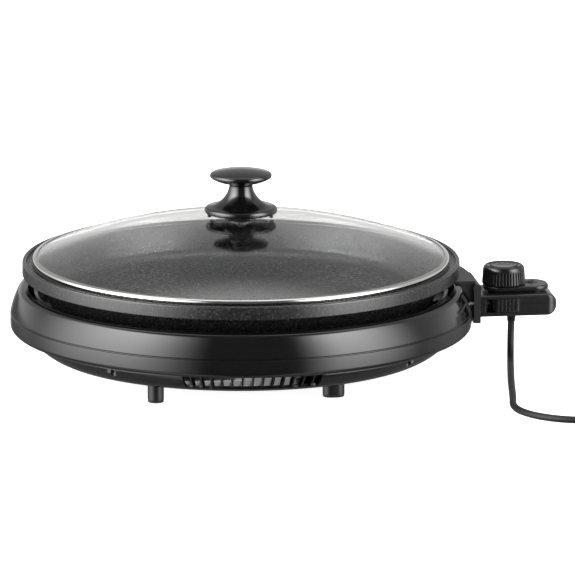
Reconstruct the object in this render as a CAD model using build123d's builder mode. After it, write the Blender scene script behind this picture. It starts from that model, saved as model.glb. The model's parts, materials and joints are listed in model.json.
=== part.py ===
from build123d import *

import os
from math import asin, cos, degrees, pi, radians, sin, sqrt

# A round electric griddle: a plastic body on four feet, a cast pan with its
# heater screwed to the body, a domed glass lid with a knob, and a plug-in
# heat controller with a dial, a slide catch and a mains cord.
# Millimetres. The origin is on the pan's axis, level with the table, +Z is up
# and +X points to the controller.

os.makedirs("parts", exist_ok=True)

# ---------------------------------------------------------------- dimensions
gap = 0.3  # clearance between pieces that aren't fitted to each other

# Body: an upper shell over a bowl-shaped lower shell
body_radius = 200.7
body_top_z = 75.2
body_top_radius = 189.0
body_mouth_radius = 185.0
seam_z = 54.4  # moulding line round the upper shell
shoulder_end = (194.2, 71.8)  # where the slope above the line starts to turn into the lip
shell_joint_z = 38.0
shell_foot_radius = 195.0
shell_lip_radius = 188.8
floor_z = 19.6
floor_radius = 166.6
bowl_top = (185.2, 36.0)
floor_thickness = 2.6
floor_top_z = floor_z + floor_thickness

# Vents in the lower shell, front and back
vent_centres = (-94.5, 85.5)
vent_half_angle = 19.0
vent_fin_pitch = 2.8
vent_fin_count = 13
vent_fin_thickness = 1.6
vent_low_z = 22.8
vent_high_z = 36.6

# Feet
foot_places_left = ((-89.0, -112.0), (-89.0, 112.0))
foot_places_right = ((65.0, -112.0), (65.0, 112.0))
foot_places = foot_places_left + foot_places_right
foot_width = 14.0
foot_length_right = 19.0
foot_pad_height = 2.2

# Fasteners
body_screw_radius_at = 181.6
body_screw_count = 4
pan_screw_radius_at = 140.0
pan_screw_angles = (30.0, 150.0, 210.0, 330.0)

# Heat shield, a sheet dish between body and pan
shield_floor_z = 36.0
shield_sheet = 0.8
shield_radius = 177.0
shield_top_z = 70.0

# Pan
pan_radius = 190.0
pan_top_z = 98.3
pan_skirt_z = 86.4
pan_lip_radius = 186.4
pan_ledge_z = 95.2
pan_wall_top_radius = 176.5
pan_wall_foot_radius = 162.5
pan_surface_z = 66.0
pan_bottom_z = 61.0
heater_land_z = 59.5

# Heater and its plug, along +X
plug_z = 55.5
pin_half_spacing = 12.0
pin_radius = 2.4
pin_start_x = 178.4
pin_end_x = 203.0
heater_radius = 115.0
heater_tube_radius = 3.8
heater_bend_radius = 15.0
heater_end_x = 178.0

# Controller socket on the body
plate_back_x = 201.0
plate_front_x = 207.0
plate_half_width = 26.0
plate_low_z = 40.0
plate_high_z = 73.6
window_half_width = 18.0
window_low_z = 47.2
window_high_z = 63.8
socket_half_width = 21.6
shelf_z = 77.2
shelf_thickness = 1.9
shelf_radius = 203.4
shelf_far_y = 48.0
socket_screw_y = 24.4

# Lid
glass_radius = 487.0  # of the dome's sphere
glass_top_z = 135.0
glass_thickness = 4.0
glass_edge_radius = 179.6
glass_hole_radius = 3.2
glass_under_z = glass_top_z - glass_thickness
ring_radius = 181.2
ring_low_z = 95.5

# Lid knob
flange_radius = 31.7
flange_low_z = 140.0
flange_high_z = 144.6
neck_radius = 10.2
neck_top_z = 164.0
cap_radius = 27.0
cap_low_z = 167.6
cap_wide_z = 173.0
cap_top_z = 178.1
nub_count = 8

# Controller housing
housing_x = 207.4
housing_end_x = 275.4
housing_half_width = 23.5
housing_low_z = 44.8
housing_high_z = 63.9
housing_joint_z = 56.0
housing_wall = 2.2
housing_end_radius = (housing_high_z - housing_low_z) / 2
nose_x = 189.5
nose_half_width = 17.4
cover_x = 213.0
cover_end_x = 270.0
cover_half_width = 16.5
cover_top_z = 69.5
cover_step_z = 65.3
dial_x = 231.2
dial_low_z = 70.0
dial_top_z = 86.8
dial_radius = 19.1
dial_top_radius = 18.0
dial_flutes = 40
lamp_x = 256.0
lamp_y = 4.0

# Slide catch in the controller's side
slot_start_x = 211.7
slot_end_x = 241.5
slot_low_z = 48.7
slot_high_z = 60.8
catch_start_x = 221.0
catch_travel = 9.0
catch_rib_count = 6
catch_rib_pitch = 3.3

# Cord
cord_diameter = 6.1
cord_exit_x = 238.0
gland_end_z = 36.0
cord_z = cord_diameter / 2
coil_middle_radius = 35.0
coil_section_width = 18.9
coil_section_height = 12.4
coil_low_z = 0.9
coil_place = (315.2, -207.6)


def turned_plane(angle):
    """The upright plane through the pan's axis at this angle from +X, its own y axis up."""
    turn = radians(angle)
    return Plane(origin=(0, 0, 0), x_dir=(cos(turn), sin(turn), 0), z_dir=(sin(turn), -cos(turn), 0))


def dome_z(sphere_radius, top_z, radius):
    """Height of a spherical crown with this top, at this distance from its axis."""
    return top_z - sphere_radius + sqrt(sphere_radius**2 - radius**2)


def along_x(x, y, z):
    """A plane facing +X at this point, for round pieces that lie along X."""
    return Plane(origin=(x, y, z), x_dir=(0, 1, 0), z_dir=(1, 0, 0))


# ---------------------------------------------------------------- body
# Upper shell: a ring with a moulding line, four screw posts inside and a
# notch at +X where the controller's socket stands.
with BuildPart() as body_upper_shell:
    with BuildSketch(Plane.XZ):
        with BuildLine():
            ThreePointArc((shell_foot_radius, shell_joint_z), (198.6, 39.1), (body_radius, 42.0))
            Polyline(
                (body_radius, 42.0),
                (body_radius, seam_z - 0.8),
                (body_radius - 0.5, seam_z - 0.5),
                (body_radius - 0.4, seam_z),
            )
            ThreePointArc((body_radius - 0.4, seam_z), (197.85, 63.2), shoulder_end)
            ThreePointArc(shoulder_end, (192.1, 74.2), (body_top_radius, body_top_z))
            Polyline(
                (body_top_radius, body_top_z),
                (body_mouth_radius, body_top_z),
                (body_mouth_radius, 72.4),
                (189.2, 70.6),
                (194.2, 60.0),
                (194.6, 54.0),
                (197.7, 50.6),
                (197.7, 46.2),
                (shell_lip_radius + 0.4, 41.0),
                (shell_lip_radius + 0.4, shell_joint_z),
                (shell_foot_radius, shell_joint_z),
            )
        make_face()
    revolve(axis=Axis.Z)
    with BuildSketch(Plane.XY.offset(shell_joint_z + 2.2)):
        with PolarLocations(body_screw_radius_at, body_screw_count, start_angle=45):
            Circle(4.2)
    extrude(amount=22)
    with BuildSketch(Plane.XY.offset(44)):
        with PolarLocations(190.5, body_screw_count, start_angle=45):
            Rectangle(11, 2.4)
    extrude(amount=16)
    with BuildSketch(Plane.XY.offset(shell_joint_z)):
        with PolarLocations(body_screw_radius_at, body_screw_count, start_angle=45):
            Circle(1.75)
    extrude(amount=20, mode=Mode.SUBTRACT)
    with BuildSketch(Plane.XY.offset(44)):
        with Locations((195, 0)):
            Rectangle(30, 2 * socket_half_width + 0.6)
    extrude(amount=40, mode=Mode.SUBTRACT)
    with BuildSketch(Plane.YZ.offset(188)):
        with Locations((-socket_screw_y, 58.0), (socket_screw_y, 58.0)):
            Circle(1.6)
    extrude(amount=15, mode=Mode.SUBTRACT)
body_upper_shell.part.label = "body_upper_shell"
export_step(body_upper_shell.part, "parts/body_upper_shell.step")

# Lower shell: a shallow bowl with a lip inside the upper shell, two banks of
# finned vents, a ring of floor slots and posts for its screws.
with BuildPart() as body_lower_shell:
    with BuildSketch(Plane.XZ):
        with BuildLine():
            Line((0, floor_z), (floor_radius, floor_z))
            ThreePointArc((floor_radius, floor_z), (178.0, 27.0), bowl_top)
            Polyline(
                bowl_top,
                (190.9, bowl_top[1]),
                (190.9, 37.6),
                (shell_lip_radius, 37.6),
                (shell_lip_radius, 43.6),
                (shell_lip_radius - 2.2, 43.6),
                (shell_lip_radius - 2.2, 38.6),
                (183.0, 36.6),
            )
            ThreePointArc((183.0, 36.6), (176.2, 28.9), (165.0, floor_top_z))
            Polyline((165.0, floor_top_z), (0, floor_top_z), (0, floor_z))
        make_face()
    revolve(axis=Axis.Z)
    for centre in vent_centres:
        with BuildSketch(turned_plane(centre - vent_half_angle)):
            with Locations((183, (vent_low_z + vent_high_z) / 2)):
                Rectangle(25, vent_high_z - vent_low_z)
        revolve(axis=Axis.Z, revolution_arc=2 * vent_half_angle, mode=Mode.SUBTRACT)
    for centre in vent_centres:
        for index in range(vent_fin_count):
            fin_angle = centre + (index - (vent_fin_count - 1) / 2) * vent_fin_pitch
            with BuildSketch(turned_plane(fin_angle)):
                with BuildLine():
                    ThreePointArc((168.3, 21.2), (177.5, 27.4), (186.2, 37.2))
                    Polyline((186.2, 37.2), (180.5, 37.2), (168.3, 25.6), (168.3, 21.2))
                make_face()
            extrude(amount=vent_fin_thickness / 2, both=True)
    with BuildSketch(Plane.XY.offset(31.5)):
        with PolarLocations(body_screw_radius_at, body_screw_count, start_angle=45):
            Circle(4.8)
    extrude(amount=shell_joint_z + 1.9 - 31.5)
    with BuildSketch(Plane.XY.offset(floor_top_z)):
        with Locations(*foot_places):
            Circle(4.6)
    extrude(amount=10)
    with BuildSketch(Plane.XY.offset(10)):
        with PolarLocations(body_screw_radius_at, body_screw_count, start_angle=45):
            Circle(3.5)
    extrude(amount=24.5, mode=Mode.SUBTRACT)
    with BuildSketch(Plane.XY.offset(10)):
        with PolarLocations(body_screw_radius_at, body_screw_count, start_angle=45):
            Circle(1.9)
        with Locations(*foot_places):
            Circle(1.9)
        for angle in pan_screw_angles:
            with PolarLocations(pan_screw_radius_at, 1, start_angle=angle):
                Circle(2.2)
        with PolarLocations(85, 16, start_angle=11.25):
            SlotOverall(46, 5)
    extrude(amount=35, mode=Mode.SUBTRACT)
body_lower_shell.part.label = "body_lower_shell"
export_step(body_lower_shell.part, "parts/body_lower_shell.step")

# Screws that hold the two shells together, driven up from below.
with BuildPart() as body_screws:
    with BuildSketch(Plane.XY.offset(31.8)):
        with PolarLocations(body_screw_radius_at, body_screw_count, start_angle=45):
            Circle(3.2)
    extrude(amount=2.6)
    with BuildSketch(Plane.XY.offset(34.4)):
        with PolarLocations(body_screw_radius_at, body_screw_count, start_angle=45):
            Circle(1.7)
    extrude(amount=20)
    with BuildSketch(Plane.XY.offset(31.8)):
        with PolarLocations(body_screw_radius_at, body_screw_count, start_angle=45):
            Rectangle(4.2, 0.9)
            Rectangle(0.9, 4.2)
    extrude(amount=1.2, mode=Mode.SUBTRACT)
body_screws.part.label = "body_screws"
export_step(body_screws.part, "parts/body_screws.step")

# Feet: round posts on the left, longer ones under the controller's side.
with BuildPart() as feet:
    with BuildSketch(Plane.XY.offset(foot_pad_height)):
        with Locations(*foot_places_left):
            Circle(foot_width / 2)
        with Locations(*foot_places_right):
            SlotOverall(foot_length_right, foot_width)
    extrude(amount=floor_z - gap / 3 - foot_pad_height)
    fillet(feet.edges().group_by(Axis.Z)[-1], 1.0)
    with BuildSketch(Plane.XY.offset(foot_pad_height)):
        with Locations(*foot_places):
            Circle(3.4)
    extrude(amount=5, mode=Mode.SUBTRACT)
    with BuildSketch(Plane.XY.offset(foot_pad_height)):
        with Locations(*foot_places):
            Circle(1.9)
    extrude(amount=30, mode=Mode.SUBTRACT)
feet.part.label = "feet"
export_step(feet.part, "parts/feet.step")

# Rubber pads glued under the feet.
with BuildPart() as foot_pads:
    with BuildSketch():
        with Locations(*foot_places_left):
            Circle(foot_width / 2 - 0.2)
        with Locations(*foot_places_right):
            SlotOverall(foot_length_right - 0.4, foot_width - 0.4)
    extrude(amount=foot_pad_height - 0.05)
    fillet(foot_pads.edges().group_by(Axis.Z)[0], 0.8)
foot_pads.part.label = "foot_pads"
export_step(foot_pads.part, "parts/foot_pads.step")

# Screws up through the feet into the lower shell.
with BuildPart() as foot_screws:
    with BuildSketch(Plane.XY.offset(4.5)):
        with Locations(*foot_places):
            Circle(3.1)
    extrude(amount=2.6)
    with BuildSketch(Plane.XY.offset(7.1)):
        with Locations(*foot_places):
            Circle(1.7)
    extrude(amount=22)
foot_screws.part.label = "foot_screws"
export_step(foot_screws.part, "parts/foot_screws.step")

# Heat shield: a spun sheet dish with a notch for the heater's plug.
with BuildPart() as heat_shield:
    with BuildSketch(Plane.XZ):
        with BuildLine():
            shield_line = FilletPolyline(
                (0, shield_floor_z),
                (158, shield_floor_z),
                (shield_radius - 1, 50),
                (shield_radius - 1, shield_top_z),
                (shield_radius + 3, shield_top_z + 1.2),
                radius=2.5,
            )
            offset(shield_line, amount=shield_sheet, side=Side.LEFT)
        make_face()
    revolve(axis=Axis.Z)
    with BuildSketch(Plane.XY.offset(44)):
        with Locations((180, 0)):
            Rectangle(60, 49)
    extrude(amount=40, mode=Mode.SUBTRACT)
    with BuildSketch(Plane.XY.offset(20)):
        for angle in pan_screw_angles:
            with PolarLocations(pan_screw_radius_at, 1, start_angle=angle):
                Circle(2.3)
    extrude(amount=22, mode=Mode.SUBTRACT)
heat_shield.part.label = "heat_shield"
export_step(heat_shield.part, "parts/heat_shield.step")

# Spacers below and above the shield, and the long screws through both into the pan.
with BuildPart() as shield_spacers:
    with BuildSketch(Plane.XY.offset(floor_top_z + 0.05)):
        for angle in pan_screw_angles:
            with PolarLocations(pan_screw_radius_at, 1, start_angle=angle):
                Circle(6.0)
                Circle(2.3, mode=Mode.SUBTRACT)
    extrude(amount=shield_floor_z - floor_top_z - 0.1)
shield_spacers.part.label = "shield_spacers"
export_step(shield_spacers.part, "parts/shield_spacers.step")

with BuildPart() as pan_spacers:
    with BuildSketch(Plane.XY.offset(shield_floor_z + shield_sheet + 0.05)):
        for angle in pan_screw_angles:
            with PolarLocations(pan_screw_radius_at, 1, start_angle=angle):
                Circle(5.0)
                Circle(2.3, mode=Mode.SUBTRACT)
    extrude(amount=pan_bottom_z - shield_floor_z - shield_sheet - 0.1)
pan_spacers.part.label = "pan_spacers"
export_step(pan_spacers.part, "parts/pan_spacers.step")

with BuildPart() as pan_screws:
    with BuildSketch(Plane.XY.offset(17.0)):
        for angle in pan_screw_angles:
            with PolarLocations(pan_screw_radius_at, 1, start_angle=angle):
                Circle(4.0)
    extrude(amount=2.5)
    fillet(pan_screws.edges().group_by(Axis.Z)[0], 0.9)
    with BuildSketch(Plane.XY.offset(19.5)):
        for angle in pan_screw_angles:
            with PolarLocations(pan_screw_radius_at, 1, start_angle=angle):
                Circle(2.0)
    extrude(amount=45)
    with BuildSketch(Plane.XY.offset(17.0)):
        for angle in pan_screw_angles:
            with PolarLocations(pan_screw_radius_at, 1, start_angle=angle):
                Rectangle(4.6, 1.0)
                Rectangle(1.0, 4.6)
    extrude(amount=1.4, mode=Mode.SUBTRACT)
pan_screws.part.label = "pan_screws"
export_step(pan_screws.part, "parts/pan_screws.step")

# Controller socket: an end plate with a window, two cheeks back to the pan and
# a flat shelf on top that runs on past the plate on the far side.
with BuildPart() as controller_socket:
    with BuildSketch(Plane.YZ.offset(plate_back_x)):
        with BuildLine():
            Polyline(
                (-plate_half_width, plate_low_z),
                (plate_half_width, plate_low_z),
                (plate_half_width, plate_high_z),
                (-plate_half_width, plate_high_z),
                close=True,
            )
        make_face()
    extrude(amount=plate_front_x - plate_back_x)
    fillet(controller_socket.edges().filter_by(Axis.X), 1.8)
    with BuildSketch(Plane.XZ.offset(-plate_half_width)):
        with Locations(((plate_back_x + plate_front_x) / 2, plate_high_z - 2.4)):
            Circle(3.8)
    extrude(amount=2 * plate_half_width)
    with BuildSketch(Plane.XY.offset(45.0)):
        with Locations((194.7, socket_half_width - 1.2), (194.7, 1.2 - socket_half_width)):
            Rectangle(13.4, 2.4)
    extrude(amount=shelf_z - shelf_thickness - 45.0 + 0.2)
    with BuildSketch(Plane.XY.offset(shelf_z - shelf_thickness)):
        with BuildLine():
            near_angle = degrees(asin(-socket_half_width / shelf_radius))
            far_angle = degrees(asin(shelf_far_y / shelf_radius))
            inner_near = degrees(asin(-socket_half_width / (body_mouth_radius + 1.0)))
            shelf_outer = CenterArc((0, 0), shelf_radius, near_angle, far_angle - near_angle)
            shelf_inner = CenterArc((0, 0), body_mouth_radius + 1.0, inner_near, far_angle - inner_near)
            Line(shelf_outer @ 0, shelf_inner @ 0)
            Line(shelf_outer @ 1, shelf_inner @ 1)
        make_face()
    extrude(amount=shelf_thickness)
    with BuildSketch(Plane.XY.offset(71.6)):
        with BuildLine():
            rim_start = degrees(asin((socket_half_width - 2.4) / shelf_radius))
            rim_outer = CenterArc((0, 0), shelf_radius, rim_start, far_angle - rim_start)
            rim_inner = CenterArc((0, 0), shelf_radius - 2.2, rim_start, far_angle - rim_start)
            Line(rim_outer @ 0, rim_inner @ 0)
            Line(rim_outer @ 1, rim_inner @ 1)
        make_face()
    extrude(amount=shelf_z - shelf_thickness - 71.6 + 0.2)
    with BuildSketch(Plane.YZ.offset(180)):
        with Locations((0, (window_low_z + window_high_z) / 2)):
            Rectangle(2 * window_half_width, window_high_z - window_low_z)
    extrude(amount=60, mode=Mode.SUBTRACT)
    with BuildSketch(Plane.YZ.offset(plate_back_x)):
        with Locations((-socket_screw_y, 58.0), (socket_screw_y, 58.0)):
            Circle(1.55)
    extrude(amount=4.0, mode=Mode.SUBTRACT)
controller_socket.part.label = "controller_socket"
export_step(controller_socket.part, "parts/controller_socket.step")

with BuildPart() as socket_screws:
    with BuildSketch(Plane.YZ.offset(189.9)):
        with Locations((-socket_screw_y, 58.0), (socket_screw_y, 58.0)):
            Circle(2.6)
    extrude(amount=2.4)
    with BuildSketch(Plane.YZ.offset(192.3)):
        with Locations((-socket_screw_y, 58.0), (socket_screw_y, 58.0)):
            Circle(1.5)
    extrude(amount=12.4)
socket_screws.part.label = "socket_screws"
export_step(socket_screws.part, "parts/socket_screws.step")

# ---------------------------------------------------------------- pan and heater
# The cast pan: flat cooking surface, sloping wall, a ledge for the lid and a
# skirt that hides the gap above the body.
with BuildPart() as griddle_pan:
    with BuildSketch(Plane.XZ):
        with BuildLine():
            Polyline(
                (0, pan_bottom_z),
                (163.0, pan_bottom_z),
                (166.6, 62.6),
                (179.2, 91.4),
                (pan_lip_radius - 0.2, 91.4),
                (pan_lip_radius, pan_skirt_z),
                (pan_radius - 0.6, pan_skirt_z),
                (pan_radius, pan_skirt_z + 0.6),
                (pan_radius, 96.6),
            )
            ThreePointArc((pan_radius, 96.6), (189.3, 98.0), (188.0, pan_top_z))
            ThreePointArc((188.0, pan_top_z), (186.8, 97.9), (186.2, 96.8))
            Polyline((186.2, 96.8), (186.0, pan_ledge_z), (pan_wall_top_radius, pan_ledge_z))
            Line((pan_wall_top_radius, pan_ledge_z), (pan_wall_foot_radius + 2.6, 69.4))
            ThreePointArc((pan_wall_foot_radius + 2.6, 69.4), (163.0, 67.0), (159.6, pan_surface_z))
            Polyline((159.6, pan_surface_z), (0, pan_surface_z), (0, pan_bottom_z))
        make_face()
    revolve(axis=Axis.Z)
    with BuildSketch(Plane.XY.offset(heater_land_z)):
        Circle(heater_radius + 8)
        Circle(heater_radius - 8, mode=Mode.SUBTRACT)
    extrude(amount=pan_bottom_z - heater_land_z + 0.5)
    with BuildSketch(Plane.XY.offset(heater_land_z)):
        with Locations((heater_radius, 0)):
            Rectangle(26, 26)
    extrude(amount=pan_bottom_z - heater_land_z, mode=Mode.SUBTRACT)
    with BuildSketch(Plane.XY.offset(pan_bottom_z)):
        for angle in pan_screw_angles:
            with PolarLocations(pan_screw_radius_at, 1, start_angle=angle):
                Circle(2.1)
        with Locations((156, -19.5), (156, 19.5)):
            Circle(1.7)
    extrude(amount=3.8, mode=Mode.SUBTRACT)
griddle_pan.part.label = "griddle_pan"
export_step(griddle_pan.part, "parts/griddle_pan.step")

# Heater: one sheathed tube bent into a ring, its two ends led out along +X.
leg_meets_ring_x = sqrt(
    (heater_radius + heater_bend_radius) ** 2 - (pin_half_spacing + heater_bend_radius) ** 2
)
ring_start = degrees(
    asin((pin_half_spacing + heater_bend_radius) / (heater_radius + heater_bend_radius))
)
with BuildPart() as heating_element:
    with BuildLine(Plane.XY.offset(plug_z)):
        leg = Line((heater_end_x, pin_half_spacing), (leg_meets_ring_x, pin_half_spacing))
        turn_in = JernArc(leg @ 1, leg % 1, heater_bend_radius, -(90 - ring_start))
        ring = JernArc(turn_in @ 1, turn_in % 1, heater_radius, 360 - 2 * ring_start)
        turn_out = JernArc(ring @ 1, ring % 1, heater_bend_radius, -(90 - ring_start))
        Line(turn_out @ 1, (heater_end_x, -pin_half_spacing))
    with BuildSketch(along_x(heater_end_x, pin_half_spacing, plug_z)):
        Circle(heater_tube_radius)
    sweep()
heating_element.part.label = "heating_element"
export_step(heating_element.part, "parts/heating_element.step")

# Straps that hold the heater ring against the pan.
with BuildPart() as heater_straps:
    with BuildSketch(Plane.XY.offset(plug_z - heater_tube_radius - 1.2)):
        with PolarLocations(heater_radius, 5, start_angle=60, angular_range=240, endpoint=True):
            Rectangle(2 * heater_tube_radius + 2.4, 12)
    extrude(amount=heater_land_z - plug_z + heater_tube_radius + 1.1)
    with BuildSketch(Plane.XY.offset(plug_z - heater_tube_radius - 0.2)):
        with PolarLocations(heater_radius, 5, start_angle=60, angular_range=240, endpoint=True):
            Rectangle(2 * heater_tube_radius + 0.4, 14)
    extrude(amount=20, mode=Mode.SUBTRACT)
heater_straps.part.label = "heater_straps"
export_step(heater_straps.part, "parts/heater_straps.step")

with BuildPart() as terminal_pins:
    with BuildSketch(Plane.YZ.offset(pin_start_x)):
        with Locations((-pin_half_spacing, plug_z), (pin_half_spacing, plug_z)):
            Circle(pin_radius)
    extrude(amount=pin_end_x - pin_start_x)
    fillet(terminal_pins.edges().group_by(Axis.X)[-1], 1.4)
terminal_pins.part.label = "terminal_pins"
export_step(terminal_pins.part, "parts/terminal_pins.step")

with BuildPart() as pin_insulators:
    with BuildSketch(Plane.YZ.offset(pin_start_x + 0.2)):
        with Locations((-pin_half_spacing, plug_z), (pin_half_spacing, plug_z)):
            Circle(3.8)
            Circle(pin_radius + 0.05, mode=Mode.SUBTRACT)
    extrude(amount=5.0)
pin_insulators.part.label = "pin_insulators"
export_step(pin_insulators.part, "parts/pin_insulators.step")

# Sheet guard round the pins, and the tube that receives the controller's probe.
guard_face_x = 184.0
with BuildPart() as terminal_guard:
    with BuildSketch(Plane.XY.offset(59.8)):
        with Locations((158, 0)):
            Rectangle(20, 46)
        with Locations((174, 0)):
            Rectangle(22.4, 37)
    extrude(amount=1.1)
    with BuildSketch(Plane.YZ.offset(guard_face_x)):
        with Locations((0, 54.2)):
            Rectangle(37, 13.4)
        with Locations((-pin_half_spacing, plug_z), (pin_half_spacing, plug_z)):
            Circle(3.4, mode=Mode.SUBTRACT)
        with Locations((0, plug_z)):
            Circle(4.4, mode=Mode.SUBTRACT)
    extrude(amount=1.2)
    with BuildSketch(Plane.XY.offset(50)):
        with Locations((156, -19.5), (156, 19.5)):
            Circle(1.8)
    extrude(amount=20, mode=Mode.SUBTRACT)
terminal_guard.part.label = "terminal_guard"
export_step(terminal_guard.part, "parts/terminal_guard.step")

with BuildPart() as guard_screws:
    with BuildSketch(Plane.XY.offset(57.4)):
        with Locations((156, -19.5), (156, 19.5)):
            Circle(3.0)
    extrude(amount=2.3)
    with BuildSketch(Plane.XY.offset(59.7)):
        with Locations((156, -19.5), (156, 19.5)):
            Circle(1.6)
    extrude(amount=4.6)
guard_screws.part.label = "guard_screws"
export_step(guard_screws.part, "parts/guard_screws.step")

probe_radius = 3.0
probe_tip_x = 124.0
with BuildPart() as probe_receiver:
    with BuildSketch(along_x(119, 0, plug_z)):
        Circle(4.2)
    extrude(amount=65.6)
    with BuildSketch(along_x(121, 0, plug_z)):
        Circle(probe_radius + 0.4)
    extrude(amount=80, mode=Mode.SUBTRACT)
probe_receiver.part.label = "probe_receiver"
export_step(probe_receiver.part, "parts/probe_receiver.step")

# ---------------------------------------------------------------- lid
# The glass is a shell between two spheres with one centre.
with BuildPart() as lid_glass:
    with BuildSketch(Plane.XZ):
        with BuildLine():
            outer = [
                (radius, dome_z(glass_radius, glass_top_z, radius))
                for radius in (glass_hole_radius, glass_edge_radius / 2, glass_edge_radius)
            ]
            inner = [
                (radius, dome_z(glass_radius - glass_thickness, glass_under_z, radius))
                for radius in (glass_hole_radius, glass_edge_radius / 2, glass_edge_radius)
            ]
            ThreePointArc(*outer)
            ThreePointArc(*inner)
            Line(outer[0], inner[0])
            edge_middle_z = (outer[2][1] + inner[2][1]) / 2
            ThreePointArc(outer[2], (glass_edge_radius + 0.5, edge_middle_z), inner[2])
        make_face()
    revolve(axis=Axis.Z)
lid_glass.part.label = "lid_glass"
export_step(lid_glass.part, "parts/lid_glass.step")

# Rolled steel ring: a channel that wraps the glass's edge.
with BuildPart() as lid_ring:
    with BuildSketch(Plane.XZ):
        with BuildLine():
            Polyline(
                (174.2, ring_low_z),
                (ring_radius - 0.5, ring_low_z),
                (ring_radius, ring_low_z + 0.5),
                (ring_radius, 99.0),
            )
            ThreePointArc((ring_radius, 99.0), (180.6, 101.0), (178.6, 101.9))
            Polyline((178.6, 101.9), (177.2, 102.3), (177.0, 101.75), (178.4, 101.3))
            ThreePointArc((178.4, 101.3), (180.0, 100.6), (180.4, 99.0))
            Polyline((180.4, 99.0), (180.4, 96.3), (174.2, 96.3), (174.2, ring_low_z))
        make_face()
    revolve(axis=Axis.Z)
lid_ring.part.label = "lid_ring"
export_step(lid_ring.part, "parts/lid_ring.step")

# Knob base: a flared neck on a round flange with small stand-off nubs below,
# bored for the screw.
knob_seat_z = glass_top_z + 2.4
with BuildPart() as knob_base:
    with BuildSketch(Plane.XZ):
        with BuildLine():
            Polyline(
                (2.6, knob_seat_z),
                (9.5, knob_seat_z),
                (10.5, flange_low_z),
                (flange_radius - 1.2, flange_low_z),
            )
            ThreePointArc(
                (flange_radius - 1.2, flange_low_z),
                (flange_radius, 142.2),
                (flange_radius - 1.0, flange_high_z),
            )
            ThreePointArc((flange_radius - 1.0, flange_high_z), (15.6, 152.2), (neck_radius, neck_top_z))
            Polyline((neck_radius, neck_top_z), (2.6, neck_top_z), (2.6, knob_seat_z))
        make_face()
    revolve(axis=Axis.Z)
    with BuildSketch(Plane.XY.offset(flange_low_z - 2.4)):
        with PolarLocations(29.0, nub_count, start_angle=12):
            Circle(1.7)
    extrude(amount=3.0)
knob_base.part.label = "knob_base"
export_step(knob_base.part, "parts/knob_base.step")

crown_rise = cap_top_z - 174.9
crown_radius = (25.4**2 + crown_rise**2) / (2 * crown_rise)
with BuildPart() as knob_cap:
    with BuildSketch(Plane.XZ):
        with BuildLine():
            Polyline((0, neck_top_z + 0.2), (neck_radius + 0.2, neck_top_z + 0.2), (neck_radius + 0.6, 166.0))
            ThreePointArc((neck_radius + 0.6, 166.0), (20.5, 168.4), (cap_radius, cap_wide_z))
            ThreePointArc((cap_radius, cap_wide_z), (26.6, 174.2), (25.4, 174.9))
            ThreePointArc((25.4, 174.9), (13.0, dome_z(crown_radius, cap_top_z, 13.0)), (0, cap_top_z))
            Line((0, cap_top_z), (0, neck_top_z + 0.2))
        make_face()
    revolve(axis=Axis.Z)
    with BuildSketch(Plane.XY.offset(neck_top_z)):
        Circle(2.6)
    extrude(amount=6, mode=Mode.SUBTRACT)
knob_cap.part.label = "knob_cap"
export_step(knob_cap.part, "parts/knob_cap.step")

with BuildPart() as knob_gasket:
    with BuildSketch(Plane.XY.offset(glass_top_z + 0.05)):
        Circle(12.0)
        Circle(2.7, mode=Mode.SUBTRACT)
    extrude(amount=1.1)
knob_gasket.part.label = "knob_gasket"
export_step(knob_gasket.part, "parts/knob_gasket.step")

with BuildPart() as knob_washer:
    with BuildSketch(Plane.XY.offset(glass_top_z + 1.2)):
        Circle(11.0)
        Circle(2.7, mode=Mode.SUBTRACT)
    extrude(amount=1.1)
knob_washer.part.label = "knob_washer"
export_step(knob_washer.part, "parts/knob_washer.step")

with BuildPart() as inner_gasket:
    with BuildSketch(Plane.XY.offset(glass_under_z - 1.3)):
        Circle(10.0)
        Circle(2.7, mode=Mode.SUBTRACT)
    extrude(amount=1.05)
inner_gasket.part.label = "inner_gasket"
export_step(inner_gasket.part, "parts/inner_gasket.step")

with BuildPart() as inner_washer:
    with BuildSketch(Plane.XY.offset(glass_under_z - 2.6)):
        Circle(9.0)
        Circle(2.7, mode=Mode.SUBTRACT)
    extrude(amount=1.2)
inner_washer.part.label = "inner_washer"
export_step(inner_washer.part, "parts/inner_washer.step")

with BuildPart() as knob_screw:
    with BuildSketch(Plane.XY.offset(glass_under_z - 5.6)):
        Circle(4.4)
    extrude(amount=2.9)
    fillet(knob_screw.edges().group_by(Axis.Z)[0], 1.2)
    with BuildSketch(Plane.XY.offset(glass_under_z - 5.6)):
        Rectangle(6.0, 1.1)
    extrude(amount=1.3, mode=Mode.SUBTRACT)
    with BuildSketch(Plane.XY.offset(glass_under_z - 2.8)):
        Circle(2.5)
    extrude(amount=neck_top_z + 5.6 - glass_under_z + 2.8)
knob_screw.part.label = "knob_screw"
export_step(knob_screw.part, "parts/knob_screw.step")

# ---------------------------------------------------------------- controller
# The housing's outside and inside, which both half shells are cut from.
housing_middle_z = (housing_low_z + housing_high_z) / 2
with BuildPart() as housing_outside:
    with BuildSketch(Plane.XZ.offset(-housing_half_width)):
        with Locations(((housing_x + housing_end_x - housing_end_radius) / 2, housing_middle_z)):
            Rectangle(housing_end_x - housing_end_radius - housing_x, 2 * housing_end_radius)
        with Locations((housing_end_x - housing_end_radius, housing_middle_z)):
            Circle(housing_end_radius)
    extrude(amount=2 * housing_half_width)
    with BuildSketch(Plane.XY.offset(housing_low_z - 1)):
        with Locations(((housing_x - 20 + housing_end_x) / 2, 0)):
            RectangleRounded(housing_end_x - housing_x + 20, 2 * housing_half_width, 9)
    extrude(amount=2 * housing_end_radius + 2, mode=Mode.INTERSECT)
    fillet(housing_outside.edges().filter_by(Axis.X), 2.6)

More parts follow.
